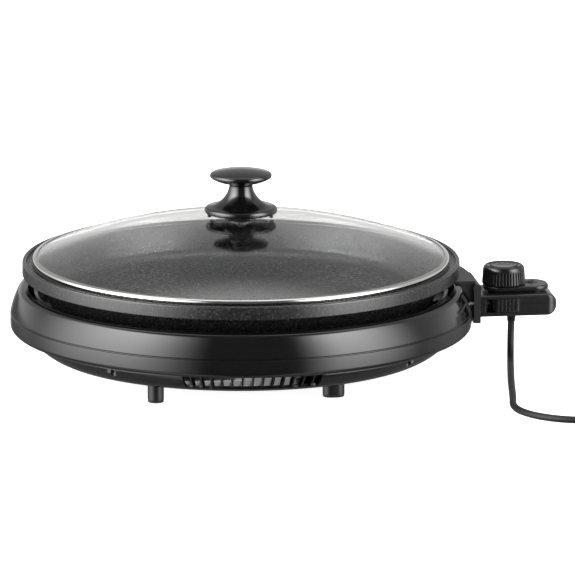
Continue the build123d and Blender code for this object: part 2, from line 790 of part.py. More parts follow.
with BuildPart() as housing_inside:
    inside_radius = housing_end_radius - housing_wall
    inside_x = housing_x + housing_wall
    inside_end_x = housing_end_x - housing_wall
    with BuildSketch(Plane.XZ.offset(housing_wall - housing_half_width)):
        with Locations(((inside_x + inside_end_x - inside_radius) / 2, housing_middle_z)):
            Rectangle(inside_end_x - inside_radius - inside_x, 2 * inside_radius)
        with Locations((inside_end_x - inside_radius, housing_middle_z)):
            Circle(inside_radius)
    extrude(amount=2 * (housing_half_width - housing_wall))
    with BuildSketch(Plane.XY.offset(housing_low_z)):
        with Locations(((inside_x - 20 + inside_end_x) / 2, 0)):
            RectangleRounded(inside_end_x - inside_x + 20, 2 * (housing_half_width - housing_wall), 7)
    extrude(amount=2 * housing_end_radius, mode=Mode.INTERSECT)
    with BuildSketch(Plane.YZ.offset(housing_x - 1)):
        with Locations((0, plug_z - 0.2)):
            Rectangle(2 * nose_half_width + 0.2, 12.8)
    extrude(amount=5)
    with BuildSketch(Plane.XZ.offset(housing_half_width - 5)):
        with Locations(((slot_start_x + slot_end_x) / 2, (slot_low_z + slot_high_z) / 2)):
            Rectangle(slot_end_x - slot_start_x, slot_high_z - slot_low_z)
    extrude(amount=8)

screw_places = ((221.0, -14.0), (221.0, 14.0), (262.0, -14.0), (262.0, 14.0))
with BuildPart() as controller_lower_shell:
    add(housing_outside.part)
    add(housing_inside.part, mode=Mode.SUBTRACT)
    with BuildSketch(Plane.XY.offset(housing_low_z + 1)):
        with Locations(*screw_places):
            Circle(3.2)
    extrude(amount=housing_joint_z - housing_low_z)
    split(bisect_by=Plane.XY.offset(housing_joint_z - 0.1), keep=Keep.BOTTOM)
    with BuildSketch(Plane.XY.offset(housing_low_z - 2)):
        with Locations(*screw_places):
            Circle(2.5)
    extrude(amount=4.4, mode=Mode.SUBTRACT)
    with BuildSketch(Plane.XY.offset(housing_low_z - 2)):
        with Locations(*screw_places):
            Circle(1.5)
        with Locations((cord_exit_x, 0)):
            Circle(4.4)
    extrude(amount=30, mode=Mode.SUBTRACT)
controller_lower_shell.part.label = "controller_lower_shell"
export_step(controller_lower_shell.part, "parts/controller_lower_shell.step")

with BuildPart() as controller_upper_shell:
    add(housing_outside.part)
    add(housing_inside.part, mode=Mode.SUBTRACT)
    with BuildSketch(Plane.XY.offset(housing_joint_z - 1)):
        with Locations(*screw_places):
            Circle(3.2)
    extrude(amount=housing_high_z - housing_joint_z)
    split(bisect_by=Plane.XY.offset(housing_joint_z + 0.1), keep=Keep.TOP)
    with BuildSketch(Plane.XY.offset(housing_joint_z - 1)):
        with Locations(*screw_places):
            Circle(1.5)
    extrude(amount=6.0, mode=Mode.SUBTRACT)
    with BuildSketch(Plane.XY.offset(housing_joint_z)):
        with Locations((dial_x, 0)):
            Circle(6.6)
        with Locations((lamp_x, lamp_y)):
            Circle(3.4)
    extrude(amount=20, mode=Mode.SUBTRACT)
controller_upper_shell.part.label = "controller_upper_shell"
export_step(controller_upper_shell.part, "parts/controller_upper_shell.step")

with BuildPart() as controller_screws:
    with BuildSketch(Plane.XY.offset(housing_low_z + 0.3)):
        with Locations(*screw_places):
            Circle(2.4)
    extrude(amount=2.0)
    with BuildSketch(Plane.XY.offset(housing_low_z + 2.3)):
        with Locations(*screw_places):
            Circle(1.4)
    extrude(amount=13)
controller_screws.part.label = "controller_screws"
export_step(controller_screws.part, "parts/controller_screws.step")

# Nose: the moulded block that plugs into the socket, with two pin holes and
# the probe's hole between them.
with BuildPart() as controller_nose:
    with BuildSketch(Plane.YZ.offset(nose_x)):
        with Locations((0, plug_z)):
            RectangleRounded(2 * nose_half_width, 15.0, 3.0)
    extrude(amount=plate_front_x - nose_x)
    with BuildSketch(Plane.YZ.offset(plate_front_x)):
        with Locations((0, plug_z - 0.2)):
            Rectangle(2 * nose_half_width, 12.4)
    extrude(amount=7.0)
    with BuildSketch(Plane.YZ.offset(nose_x - 1)):
        with Locations((-pin_half_spacing, plug_z), (pin_half_spacing, plug_z)):
            Circle(3.2)
        with Locations((0, plug_z)):
            Circle(probe_radius + 0.1)
    extrude(amount=40, mode=Mode.SUBTRACT)
controller_nose.part.label = "controller_nose"
export_step(controller_nose.part, "parts/controller_nose.step")

with BuildPart() as socket_terminals:
    with BuildSketch(Plane.YZ.offset(nose_x + 1.0)):
        with Locations((-pin_half_spacing, plug_z), (pin_half_spacing, plug_z)):
            Circle(3.1)
            Circle(pin_radius + 0.3, mode=Mode.SUBTRACT)
    extrude(amount=17)
    with BuildSketch(Plane.YZ.offset(nose_x + 18.0)):
        with Locations((-pin_half_spacing, plug_z), (pin_half_spacing, plug_z)):
            Circle(3.1)
    extrude(amount=1.0)
    with BuildSketch(Plane.YZ.offset(nose_x + 19.0)):
        with Locations((-pin_half_spacing, plug_z), (pin_half_spacing, plug_z)):
            Rectangle(4.6, 0.8)
    extrude(amount=8)
socket_terminals.part.label = "socket_terminals"
export_step(socket_terminals.part, "parts/socket_terminals.step")

with BuildPart() as heat_probe:
    with BuildSketch(along_x(probe_tip_x, 0, plug_z)):
        Circle(probe_radius)
    extrude(amount=214.5 - probe_tip_x)
    fillet(heat_probe.edges().group_by(Axis.X)[0], 1.4)
heat_probe.part.label = "heat_probe"
export_step(heat_probe.part, "parts/heat_probe.step")

# Thermostat inside the housing: a frame plate, a contact blade and two posts.
with BuildPart() as thermostat_frame:
    with BuildSketch(Plane.XY.offset(49.6)):
        with Locations((232, 0)):
            Rectangle(32, 18)
        with Locations((cord_exit_x, 0)):
            Circle(6.6, mode=Mode.SUBTRACT)
    extrude(amount=1.0)
    with BuildSketch(Plane.XY.offset(50.5)):
        with Locations((219.5, 5.5), (219.5, -5.5)):
            Rectangle(4.0, 3.0)
    extrude(amount=5.0)
thermostat_frame.part.label = "thermostat_frame"
export_step(thermostat_frame.part, "parts/thermostat_frame.step")

with BuildPart() as contact_blade:
    with BuildSketch(Plane.XY.offset(55.6)):
        with Locations((227, 5.5)):
            Rectangle(19, 3.4)
        with Locations((227, -5.5)):
            Rectangle(19, 3.4)
        with Locations((217.9, 0)):
            Rectangle(3.0, 14.4)
    extrude(amount=0.6)
contact_blade.part.label = "contact_blade"
export_step(contact_blade.part, "parts/contact_blade.step")

# Top cover: a raised, round-ended lid on the housing, undercut round its foot.
cover_length = cover_end_x - cover_x
with BuildPart() as controller_top_cover:
    with BuildSketch(Plane.XY.offset(housing_high_z + 0.1)):
        with Locations(((cover_x + cover_end_x) / 2 - 0.6, 0)):
            RectangleRounded(cover_length - 2.8, 2 * cover_half_width - 2.8, 12.5)
    extrude(amount=cover_step_z - housing_high_z)
    with BuildSketch(Plane.XY.offset(cover_step_z)):
        with Locations(((cover_x + cover_end_x) / 2, 0)):
            RectangleRounded(cover_length, 2 * cover_half_width, 14)
    extrude(amount=cover_top_z - cover_step_z)
    fillet(controller_top_cover.edges().group_by(Axis.Z)[-1], 1.5)
    with BuildSketch(Plane.XY.offset(cover_top_z - 0.5)):
        with Locations((lamp_x, lamp_y)):
            Circle(5.2)
    extrude(amount=1.1)
    with BuildSketch(Plane.XY.offset(housing_high_z)):
        with Locations(((cover_x + cover_end_x) / 2 - 0.6, 0)):
            RectangleRounded(cover_length - 6.4, 2 * cover_half_width - 6.4, 10.5)
    extrude(amount=cover_top_z - housing_high_z - 1.8, mode=Mode.SUBTRACT)
    with BuildSketch(Plane.XY.offset(housing_high_z)):
        with Locations((dial_x, 0)):
            Circle(3.3)
        with Locations((lamp_x, lamp_y)):
            Circle(3.0)
    extrude(amount=20, mode=Mode.SUBTRACT)
controller_top_cover.part.label = "controller_top_cover"
export_step(controller_top_cover.part, "parts/controller_top_cover.step")

lens_radius = 2.9
lens_rise = 1.1
lens_sphere = (lens_radius**2 + lens_rise**2) / (2 * lens_rise)
lens_top_z = 71.3
with BuildPart() as pilot_lens:
    with BuildSketch(Plane.XZ.offset(-lamp_y)):
        with BuildLine():
            Polyline(
                (lamp_x, lens_top_z),
                (lamp_x, 66.0),
                (lamp_x + lens_radius, 66.0),
                (lamp_x + lens_radius, lens_top_z - lens_rise),
            )
            ThreePointArc(
                (lamp_x + lens_radius, lens_top_z - lens_rise),
                (lamp_x + 1.6, dome_z(lens_sphere, lens_top_z, 1.6)),
                (lamp_x, lens_top_z),
            )
        make_face()
    revolve(axis=Axis((lamp_x, lamp_y, 0), (0, 0, 1)))
pilot_lens.part.label = "pilot_lens"
export_step(pilot_lens.part, "parts/pilot_lens.step")

with BuildPart() as pilot_bulb:
    with BuildSketch(Plane.XY.offset(52.0)):
        with Locations((lamp_x, lamp_y)):
            Circle(2.3)
    extrude(amount=11.5)
    fillet(pilot_bulb.edges().group_by(Axis.Z)[-1], 2.0)
pilot_bulb.part.label = "pilot_bulb"
export_step(pilot_bulb.part, "parts/pilot_bulb.step")

# Dial: a fluted, slightly tapered knob with a raised rim and a flat insert.
with BuildPart() as dial:
    with BuildSketch(Plane.XZ):
        with BuildLine():
            Polyline(
                (dial_x, dial_low_z),
                (dial_x + dial_radius - 0.6, dial_low_z),
                (dial_x + dial_radius, dial_low_z + 0.6),
                (dial_x + dial_top_radius + 0.2, dial_top_z - 3.4),
                (dial_x + dial_top_radius - 0.5, dial_top_z - 1.6),
                (dial_x + dial_top_radius - 1.8, dial_top_z - 0.4),
                (dial_x + dial_top_radius - 3.2, dial_top_z - 0.1),
                (dial_x + 12.6, dial_top_z - 0.9),
                (dial_x + 11.6, dial_top_z - 1.3),
                (dial_x + 11.6, dial_top_z - 2.4),
                (dial_x, dial_top_z - 2.4),
                (dial_x, dial_low_z),
            )
        make_face()
    revolve(axis=Axis((dial_x, 0, 0), (0, 0, 1)))
    with BuildSketch(Plane.XY.offset(dial_low_z - 1)):
        with Locations((dial_x, 0)):
            with PolarLocations(dial_radius + 0.35, dial_flutes):
                Circle(0.95)
    extrude(amount=dial_top_z - dial_low_z - 2.4, mode=Mode.SUBTRACT)
    with BuildSketch(Plane.XY.offset(dial_low_z - 1)):
        with Locations((dial_x, 0)):
            Circle(3.05)
    extrude(amount=11, mode=Mode.SUBTRACT)
dial.part.label = "dial"
export_step(dial.part, "parts/dial.step")

with BuildPart() as dial_insert:
    with BuildSketch(Plane.XY.offset(dial_top_z - 2.3)):
        with Locations((dial_x, 0)):
            Circle(11.4)
    extrude(amount=1.9)
    fillet(dial_insert.edges().group_by(Axis.Z)[-1], 0.5)
dial_insert.part.label = "dial_insert"
export_step(dial_insert.part, "parts/dial_insert.step")

# Spindle with its cam, turning with the dial.
with BuildPart() as dial_spindle:
    with BuildSketch(Plane.XY.offset(57.6)):
        with Locations((dial_x, 0)):
            Circle(5.6)
    extrude(amount=2.6)
    with BuildSketch(Plane.XY.offset(60.2)):
        with Locations((dial_x, 0)):
            Circle(3.0)
    extrude(amount=19.6)
dial_spindle.part.label = "dial_spindle"
export_step(dial_spindle.part, "parts/dial_spindle.step")

# Slide catch: a ribbed thumb piece in the side slot, on a plate behind the wall.
catch_face_y = -housing_half_width - 0.4
catch_low_z = slot_low_z + 0.3
catch_high_z = slot_high_z - 0.3
catch_end_x = slot_end_x - 0.3
with BuildPart() as slide_catch:
    with BuildSketch(Plane.XZ.offset(housing_half_width - housing_wall - 0.4)):
        with Locations(((catch_start_x + catch_end_x) / 2, (catch_low_z + catch_high_z) / 2)):
            Rectangle(catch_end_x - catch_start_x, catch_high_z - catch_low_z)
    extrude(amount=housing_wall + 0.4)
    with BuildSketch(Plane.XZ.offset(housing_half_width - 0.1)):
        for index in range(catch_rib_count):
            rib_x = catch_start_x + 1.5 + index * catch_rib_pitch
            with Locations((rib_x, slot_low_z + 3.3), (rib_x, slot_high_z - 3.3)):
                Rectangle(1.6, 4.6)
    extrude(amount=1.2)
    with BuildSketch(Plane.XZ.offset(housing_half_width - housing_wall - 1.4)):
        with Locations(((catch_start_x + catch_end_x) / 2, (catch_low_z + catch_high_z) / 2)):
            Rectangle(catch_end_x - catch_start_x + 1.6, catch_high_z - catch_low_z + 1.6)
    extrude(amount=1.1)
slide_catch.part.label = "slide_catch"
export_step(slide_catch.part, "parts/slide_catch.step")

# ---------------------------------------------------------------- cord
# Strain relief: a collar in the housing's floor that tapers down round the cord.
with BuildPart() as cord_gland:
    with BuildSketch(Plane.XZ):
        with BuildLine():
            Polyline(
                (cord_exit_x, gland_end_z),
                (cord_exit_x + 3.5, gland_end_z),
                (cord_exit_x + 4.3, housing_low_z - 0.2),
                (cord_exit_x + 4.3, housing_low_z + housing_wall + 0.2),
                (cord_exit_x + 6.0, housing_low_z + housing_wall + 0.2),
                (cord_exit_x + 6.0, 49.3),
                (cord_exit_x + 3.6, 49.3),
                (cord_exit_x + 3.6, 56.8),
                (cord_exit_x, 56.8),
                (cord_exit_x, gland_end_z),
            )
        make_face()
    revolve(axis=Axis((cord_exit_x, 0, 0), (0, 0, 1)))
cord_gland.part.label = "cord_gland"
export_step(cord_gland.part, "parts/cord_gland.step")


def tube_radii(points):
    """For each corner of a route, 0.45 of its shorter run over the tangent of half its turn."""
    radii = []
    for before, corner, after in zip(points, points[1:], points[2:]):
        arriving = Vector(*corner) - Vector(*before)
        leaving = Vector(*after) - Vector(*corner)
        half_turn = radians(arriving.get_angle(leaving) / 2)
        shorter = min(arriving.length, leaving.length)
        radii.append(0.45 * shorter * cos(half_turn) / sin(half_turn))
    return radii


# The cord drops out of the gland, bends on to the table, runs out past the
# front of the griddle and curls round to its coil.
cord_route = [
    (238.0, 0.0, gland_end_z),
    (237.6, -0.3, 23.6),
    (236.3, -7.5, 10.6),
    (234.3, -20.2, cord_z + 0.1),
    (230.0, -47.5, cord_z),
    (222.2, -97.5, cord_z),
    (215.2, -149.4, cord_z),
    (208.6, -188.7, cord_z),
    (220.1, -218.6, cord_z),
    (245.4, -239.4, cord_z),
    (276.6, -244.2, cord_z),
    (307.0, -248.9, cord_z + coil_low_z),
]
cord_radii = tube_radii(cord_route)
print("cord corner radii", [round(radius, 1) for radius in cord_radii])
with BuildPart() as power_cord:
    with BuildLine():
        cord_line = FilletPolyline(*cord_route, radius=cord_radii)
    with BuildSketch(Plane(origin=cord_line @ 0, z_dir=cord_line % 0)):
        Circle(cord_diameter / 2)
    sweep()
cord_section = pi * cord_diameter**2 / 4
print("cord length", round(cord_line.length, 1), "volume ratio",
      round(power_cord.part.volume / cord_line.length / cord_section, 4))
power_cord.part.label = "power_cord"
export_step(power_cord.part, "parts/power_cord.step")

# The spare length, wound into a round coil and held by a tie.
with BuildPart() as cord_coil:
    with BuildSketch(Plane(origin=(*coil_place, 0), x_dir=(1, 0, 0), z_dir=(0, -1, 0))):
        with Locations((coil_middle_radius, coil_low_z + coil_section_height / 2)):
            RectangleRounded(coil_section_width, coil_section_height, 3.0)
    revolve(axis=Axis((*coil_place, 0), (0, 0, 1)))
cord_coil.part.label = "cord_coil"
export_step(cord_coil.part, "parts/cord_coil.step")

tie_angle = 120.0
tie_turn = radians(tie_angle)
tie_plane = Plane(
    origin=(*coil_place, 0),
    x_dir=(cos(tie_turn), sin(tie_turn), 0),
    z_dir=(sin(tie_turn), -cos(tie_turn), 0),
)
with BuildPart() as cord_tie:
    with BuildSketch(tie_plane):
        with Locations((coil_middle_radius, coil_low_z + coil_section_height / 2)):
            RectangleRounded(coil_section_width + 1.7, coil_section_height + 1.7, 3.8)
            RectangleRounded(coil_section_width + 0.7, coil_section_height + 0.7, 3.3, mode=Mode.SUBTRACT)
    extrude(amount=3.0, both=True)
cord_tie.part.label = "cord_tie"
export_step(cord_tie.part, "parts/cord_tie.step")

# The tail from the coil to the plug, which lies beside it.
plug_half_height = 8.5
tail_route = [
    (354.9, -219.6, 10.1),
    (358.4, -196.4, 8.0),
    (358.2, -174.6, 7.4),
    (355.0, -155.2, 8.3),
    (353.2, -144.2, plug_half_height),
]
tail_radii = tube_radii(tail_route)
print("tail corner radii", [round(radius, 1) for radius in tail_radii])
with BuildPart() as cord_tail:
    with BuildLine():
        tail_line = FilletPolyline(*tail_route, radius=tail_radii)
    with BuildSketch(Plane(origin=tail_line @ 0, z_dir=tail_line % 0)):
        Circle(cord_diameter / 2)
    sweep()
print("tail length", round(tail_line.length, 1), "volume ratio",
      round(cord_tail.part.volume / tail_line.length / cord_section, 4))
cord_tail.part.label = "cord_tail"
export_step(cord_tail.part, "parts/cord_tail.step")

# Two-blade mains plug lying on its side face, pointing away from the coil.
plug_turn = radians(99.3)
plug_axis = Vector(cos(plug_turn), sin(plug_turn), 0)
plug_back = Plane(
    origin=tail_route[-1], x_dir=(sin(plug_turn), -cos(plug_turn), 0), z_dir=plug_axis
)
with BuildPart() as plug_body:
    with BuildSketch(plug_back.offset(0.05)):
        Circle(4.0)
    with BuildSketch(plug_back.offset(14)):
        RectangleRounded(11.5, 10.5, 4.0)
    loft()
    with BuildSketch(plug_back.offset(14)):
        RectangleRounded(20.0, 13.5, 5.0)
    with BuildSketch(plug_back.offset(36)):
        RectangleRounded(25.0, 16.6, 5.0)
    loft()
    with BuildSketch(plug_back.offset(36)):
        RectangleRounded(27.0, 17.0, 5.0)
    extrude(amount=3.0)
plug_body.part.label = "plug_body"
export_step(plug_body.part, "parts/plug_body.step")

with BuildPart() as plug_blades:
    with BuildSketch(plug_back.offset(39.05)):
        with Locations((-6.35, 0), (6.35, 0)):
            Rectangle(1.5, 6.3)
    extrude(amount=17.0)
    with BuildSketch(Plane(origin=plug_back.origin + plug_axis * 52.0, x_dir=plug_axis, z_dir=plug_back.x_dir)):
        Circle(1.4)
    extrude(amount=10, both=True, mode=Mode.SUBTRACT)
plug_blades.part.label = "plug_blades"
export_step(plug_blades.part, "parts/plug_blades.step")
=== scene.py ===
# %% [markdown]
# # A round electric griddle, dressed for its portrait
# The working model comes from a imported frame: every casing, screw and pin is there, at its real
# size in metres. This lesson gives that frame its looks. Round pieces are worked out again as
# smooth surfaces, the cord becomes a soft line of its real length, and each finish is built from
# what the real one is made of.

import json
import math

import bmesh
import bpy
import numpy as np
from mathutils import Matrix, Vector


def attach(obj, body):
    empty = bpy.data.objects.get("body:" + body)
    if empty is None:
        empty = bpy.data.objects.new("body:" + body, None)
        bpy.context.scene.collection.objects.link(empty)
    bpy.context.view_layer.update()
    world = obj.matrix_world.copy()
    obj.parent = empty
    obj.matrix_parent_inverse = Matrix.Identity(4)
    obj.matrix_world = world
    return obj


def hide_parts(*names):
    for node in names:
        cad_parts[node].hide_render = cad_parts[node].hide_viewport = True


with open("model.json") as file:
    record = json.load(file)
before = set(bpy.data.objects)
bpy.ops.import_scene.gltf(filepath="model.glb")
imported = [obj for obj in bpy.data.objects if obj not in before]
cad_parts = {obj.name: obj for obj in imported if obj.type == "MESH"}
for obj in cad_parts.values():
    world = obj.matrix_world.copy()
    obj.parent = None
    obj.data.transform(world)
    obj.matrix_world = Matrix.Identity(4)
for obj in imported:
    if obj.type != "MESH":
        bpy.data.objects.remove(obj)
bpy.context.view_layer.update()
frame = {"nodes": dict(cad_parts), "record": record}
scene = bpy.context.scene
mm = 0.001

# %% [markdown]
# ## The camera
# A product shot of a wide, low object is taken from far off with a long lens, so that its ovals
# stay flat. The camera stands eight metres away, a little above the table and turned slightly to
# the left. The lens follows from the width that has to fit in the picture.

# %% Camera
camera_bearing = math.radians(-8.0)
camera_lift = math.radians(12.6)
camera_distance = 8.0
picture_width = 0.4996
look_at = Vector((0.0400, -0.0056, 0.0729))

to_camera = Vector((
    math.sin(camera_bearing) * math.cos(camera_lift),
    -math.cos(camera_bearing) * math.cos(camera_lift),
    math.sin(camera_lift),
))
camera_data = bpy.data.cameras.new("portrait_camera")
camera_data.sensor_width = 36.0
camera_data.lens = camera_data.sensor_width * camera_distance / picture_width
camera_data.clip_end = 100.0
camera = bpy.data.objects.new("portrait_camera", camera_data)
camera.location = look_at + to_camera * camera_distance
camera.rotation_euler = to_camera.to_track_quat("Z", "Y").to_euler()
scene.collection.objects.link(camera)
scene.camera = camera
scene.view_settings.view_transform = "Standard"
print("lens in mm:", round(camera_data.lens, 1))

# %% [markdown]
# ## The cord's line
# A mains lead is a soft tube of one length. It could be swept as a mesh, but a curve with a round
# bevel keeps its section true through every bend. Its route is a short list of points: out of the
# grommet, down to the table, forward past the griddle, then round into a coil.
# The curve is a smooth spline that those points steer.

# %% Cord route
cord_diameter = 6.1 * mm
lead_route = [
    (0.2380, 0.0000, 0.0460),
    (0.2380, 0.0000, 0.0360),
    (0.2376, -0.0003, 0.0236),
    (0.2363, -0.0075, 0.0106),
    (0.2343, -0.0202, 0.00315),
    (0.2300, -0.0475, 0.00305),
    (0.2222, -0.0975, 0.00305),
    (0.2152, -0.1494, 0.00305),
    (0.2086, -0.1887, 0.00305),
    (0.2201, -0.2186, 0.00305),
    (0.2454, -0.2394, 0.00305),
    (0.2766, -0.2442, 0.00305),
    (0.3070, -0.2489, 0.00395),
]
tail_route = [
    (0.3549, -0.2196, 0.0101),
    (0.3584, -0.1964, 0.0080),
    (0.3582, -0.1746, 0.0074),
    (0.3550, -0.1552, 0.0083),
    (0.3532, -0.1442, 0.0085),
    (0.3522, -0.1380, 0.0085),
]

# %% [markdown]
# ## The coil
# The spare length is wound into a neat ring, two layers of three turns. Each turn runs round at
# one radius and then steps over to its neighbour's, all at the same place, as a wound cord does.
# The lower layer steps inwards, the cord climbs, and the upper layer steps outwards.

# %% Coil of spare cord
coil_centre = (0.3152, -0.2076)
coil_outer = 41.3 * mm
coil_pitch = 6.2 * mm
coil_low, coil_high = 3.95 * mm, 10.1 * mm
coil_step = 20.0


def eased_step(value, start, end):
    """0 below start, 1 above end, and a smooth S between them: 3t squared minus 2t cubed."""
    t = np.clip((value - start) / (end - start), 0.0, 1.0)
    return t * t * (3.0 - 2.0 * t)


def coil_points():
    """Points round the coil. The radius is the outer one, less a pitch for each step made inwards
    and plus one for each step made outwards; the height changes once, between the layers."""
    angle = np.arange(280.0, 2136.0, coil_step)
    inwards = eased_step(angle, 565, 605) + eased_step(angle, 925, 965)
    outwards = eased_step(angle, 1590, 1630) + eased_step(angle, 1950, 1990)
    radius = (coil_outer - coil_pitch * (inwards - outwards)) / math.cos(math.radians(coil_step / 2))
    height = coil_low + (coil_high - coil_low) * eased_step(angle, 1260, 1295)
    turn = np.radians(angle)
    return np.stack([
        coil_centre[0] + radius * np.cos(turn),
        coil_centre[1] + radius * np.sin(turn),
        height,
    ], axis=-1)


cord_points = np.vstack([lead_route, coil_points(), tail_route])
cord_curve = bpy.data.curves.new("mains_cord", "CURVE")
cord_curve.dimensions = "3D"
cord_curve.bevel_depth = cord_diameter / 2
cord_curve.bevel_resolution = 6
cord_curve.use_fill_caps = True
cord_line = cord_curve.splines.new("NURBS")
cord_line.points.add(len(cord_points) - 1)
cord_line.points.foreach_set("co", np.hstack([cord_points, np.ones((len(cord_points), 1))]).ravel())
cord_line.order_u = 3
cord_line.use_endpoint_u = True
cord_line.resolution_u = 8
mains_cord = bpy.data.objects.new("mains_cord", cord_curve)
scene.collection.objects.link(mains_cord)
cord_length = cord_line.calc_length()
print("cord length in m:", round(cord_length, 3))

# %% [markdown]
# ## Nodes and colours
# Every finish below is a small tree of nodes. One function adds a node, sets it and links it.
# Colours are written as on a paint card, in sRGB hex, and turned to linear light in one place.

# %% Node and colour helpers


def add_node(tree, kind, links=None, **settings):
    """Adds one node. links gives each socket a plain value or another node's output."""
    node = tree.nodes.new(kind)
    for name, value in settings.items():
        setattr(node, name, value)
    for socket, value in (links or {}).items():
        if isinstance(value, bpy.types.NodeSocket):
            tree.links.new(value, node.inputs[socket])
        else:
            node.inputs[socket].default_value = value
    return node


def paint(code):
    """Linear RGBA of an sRGB hex code: ((c + 0.055) / 1.055) to the power 2.4, or c / 12.92 if dark."""
    shares = [int(code[i:i + 2], 16) / 255 for i in (1, 3, 5)]
    return [c / 12.92 if c <= 0.04045 else ((c + 0.055) / 1.055) ** 2.4 for c in shares] + [1.0]


def per_mm(size):
    """Texture scale that makes a pattern repeat about every size millimetres."""
    return 1.0 / (size * mm)


def new_finish(name, **values):
    """A fresh material with its shader's sockets set to these values; returns material, tree, shader."""
    material = bpy.data.materials.new(name)
    material.use_nodes = True
    tree = material.node_tree
    shader = tree.nodes["Principled BSDF"]
    for socket, value in values.items():
        shader.inputs[socket.replace("_", " ")].default_value = value
    return material, tree, shader


# %% [markdown]
# ## Soft studio light
# Glossy black things show little of their own colour: they show the room. The room here is a
# white cove behind, a dim ceiling with a soft box overhead, and two tall soft panels in front, left
# and right, with a dark gap between them. It is one sky worked out from the direction looked in:
# the bearing from the front and the lift above the level.

# %% Studio sky


def studio_sky():
    """Radiance = the sum of the patches. A patch is a product of steps, and a step takes an angle in
    degrees, start and end, to the values low and high by an S curve if soft, or evenly."""
    world = bpy.data.worlds.new("soft_studio")
    scene.world = world
    world.use_nodes = True
    tree = world.node_tree
    tree.nodes.clear()
    toward = add_node(tree, "ShaderNodeTexCoord").outputs["Generated"]
    flat_front = Vector((to_camera.x, to_camera.y, 0)).normalized()
    flat_right = Vector((-flat_front.y, flat_front.x, 0))
    ahead = add_node(tree, "ShaderNodeVectorMath", {0: toward, 1: flat_front}, operation="DOT_PRODUCT")
    aside = add_node(tree, "ShaderNodeVectorMath", {0: toward, 1: flat_right}, operation="DOT_PRODUCT")
    upward = add_node(tree, "ShaderNodeSeparateXYZ", {0: toward})
    bearing = add_node(tree, "ShaderNodeMath", {0: aside.outputs["Value"], 1: ahead.outputs["Value"]},
                       operation="ARCTAN2").outputs[0]
    lift = add_node(tree, "ShaderNodeMath", {0: upward.outputs["Z"]}, operation="ARCSINE").outputs[0]
    off_front = add_node(tree, "ShaderNodeMath", {0: bearing}, operation="ABSOLUTE").outputs[0]
    soft, even = "SMOOTHSTEP", "LINEAR"
    backward = (soft, off_front, 105, 150, 0.0, 1.0)
    tall = [(even, lift, -40, 34, 0.1, 1.0), (soft, lift, 36, 52, 1.0, 0.0)]
    patches = {
        "sweep": [(soft, lift, -24, -12, 0.0, 0.42), (soft, lift, -6, 0, 1.0, 0.0),
                  (soft, off_front, 160, 174, 0.0, 1.0)],
        "cove": [(soft, lift, -4, 1, 0.0, 0.36), (soft, lift, 6, 13, 1.0, 0.0), backward],
        "ceiling": [(soft, lift, -4, 1, 0.15, 0.46), (even, lift, 13, 60, 1.0, 0.45), backward],
        "side walls": [(soft, off_front, 66, 104, 0.1, 0.62), (soft, off_front, 118, 158, 1.0, 0.0),
                       (soft, lift, -40, 0, 0.3, 1.0)],
        "overhead box": [(soft, lift, 45, 60, 0.0, 1.4), (soft, off_front, 50, 110, 0.1, 1.0)],
        "left panel": [(soft, bearing, -128, -66, 0.0, 9.8), (soft, bearing, -62, -14, 1.0, 0.0)] + tall,
        "right panel": [(soft, bearing, 27, 56, 0.0, 9.6), (soft, bearing, 62, 104, 1.0, 0.0)] + tall,
    }
    radiance = 0.0
    for steps in patches.values():
        patch = 1.0
        for curve, angle, first, last, low, high in steps:
            step = add_node(tree, "ShaderNodeMapRange", {
                "Value": angle, "From Min": math.radians(first), "From Max": math.radians(last),
                "To Min": low, "To Max": high}, interpolation_type=curve)
            patch = add_node(tree, "ShaderNodeMath", {0: patch, 1: step.outputs["Result"]},
                             operation="MULTIPLY").outputs[0]
        radiance = add_node(tree, "ShaderNodeMath", {0: radiance, 1: patch}, operation="ADD").outputs[0]
    seen = add_node(tree, "ShaderNodeLightPath").outputs["Is Camera Ray"]
    strength = add_node(tree, "ShaderNodeMix", {0: seen, 2: radiance, 3: 1.0}, data_type="FLOAT")
    backdrop = add_node(tree, "ShaderNodeBackground", {
        "Color": paint("#FFFFFF"), "Strength": strength.outputs[0]})
    add_node(tree, "ShaderNodeOutputWorld", {"Surface": backdrop.outputs[0]})
    print("patches of light:", ", ".join(patches))


studio_sky()

# %% [markdown]
# ## Grids of points
# Most pieces of a griddle are turned, drawn or moulded with a plain outline, so each is a surface
# with two parameters: how far along the outline, and how far round. The points are worked out as
# whole arrays, and every cell of the grid becomes one quad. Where an outline meets its own axis,
# the points there merge into one, which closes the pole.

# %% Surface helpers


def quads_of(grid, wrap_rows, wrap_columns):
    """The corner numbers of each cell of a grid, with the last row or column joined to the first."""
    index = np.arange(grid.shape[0] * grid.shape[1]).reshape(grid.shape[:2])
    if wrap_rows:
        index = np.vstack([index, index[:1]])
    if wrap_columns:
        index = np.hstack([index, index[:, :1]])
    return np.stack([index[:-1, :-1], index[:-1, 1:], index[1:, 1:], index[1:, :-1]], axis=-1).reshape(-1, 4)


def surface(name, grids, finish, crease=32.0):
    """One piece from several closed grids. Each is (points, wrap_rows, wrap_columns). Doubles are
    merged, faces turned outwards, and edges sharper than crease degrees stay crisp."""
    points, quads, used = [], [], 0
    for grid, wrap_rows, wrap_columns in grids:
        points.append(grid.reshape(-1, 3))
        quads.append(quads_of(grid, wrap_rows, wrap_columns) + used)
        used += grid.shape[0] * grid.shape[1]
    mesh = bpy.data.meshes.new(name)
    mesh.from_pydata(np.vstack(points).tolist(), [], np.vstack(quads).tolist())
    return settled(name, mesh, finish, crease)


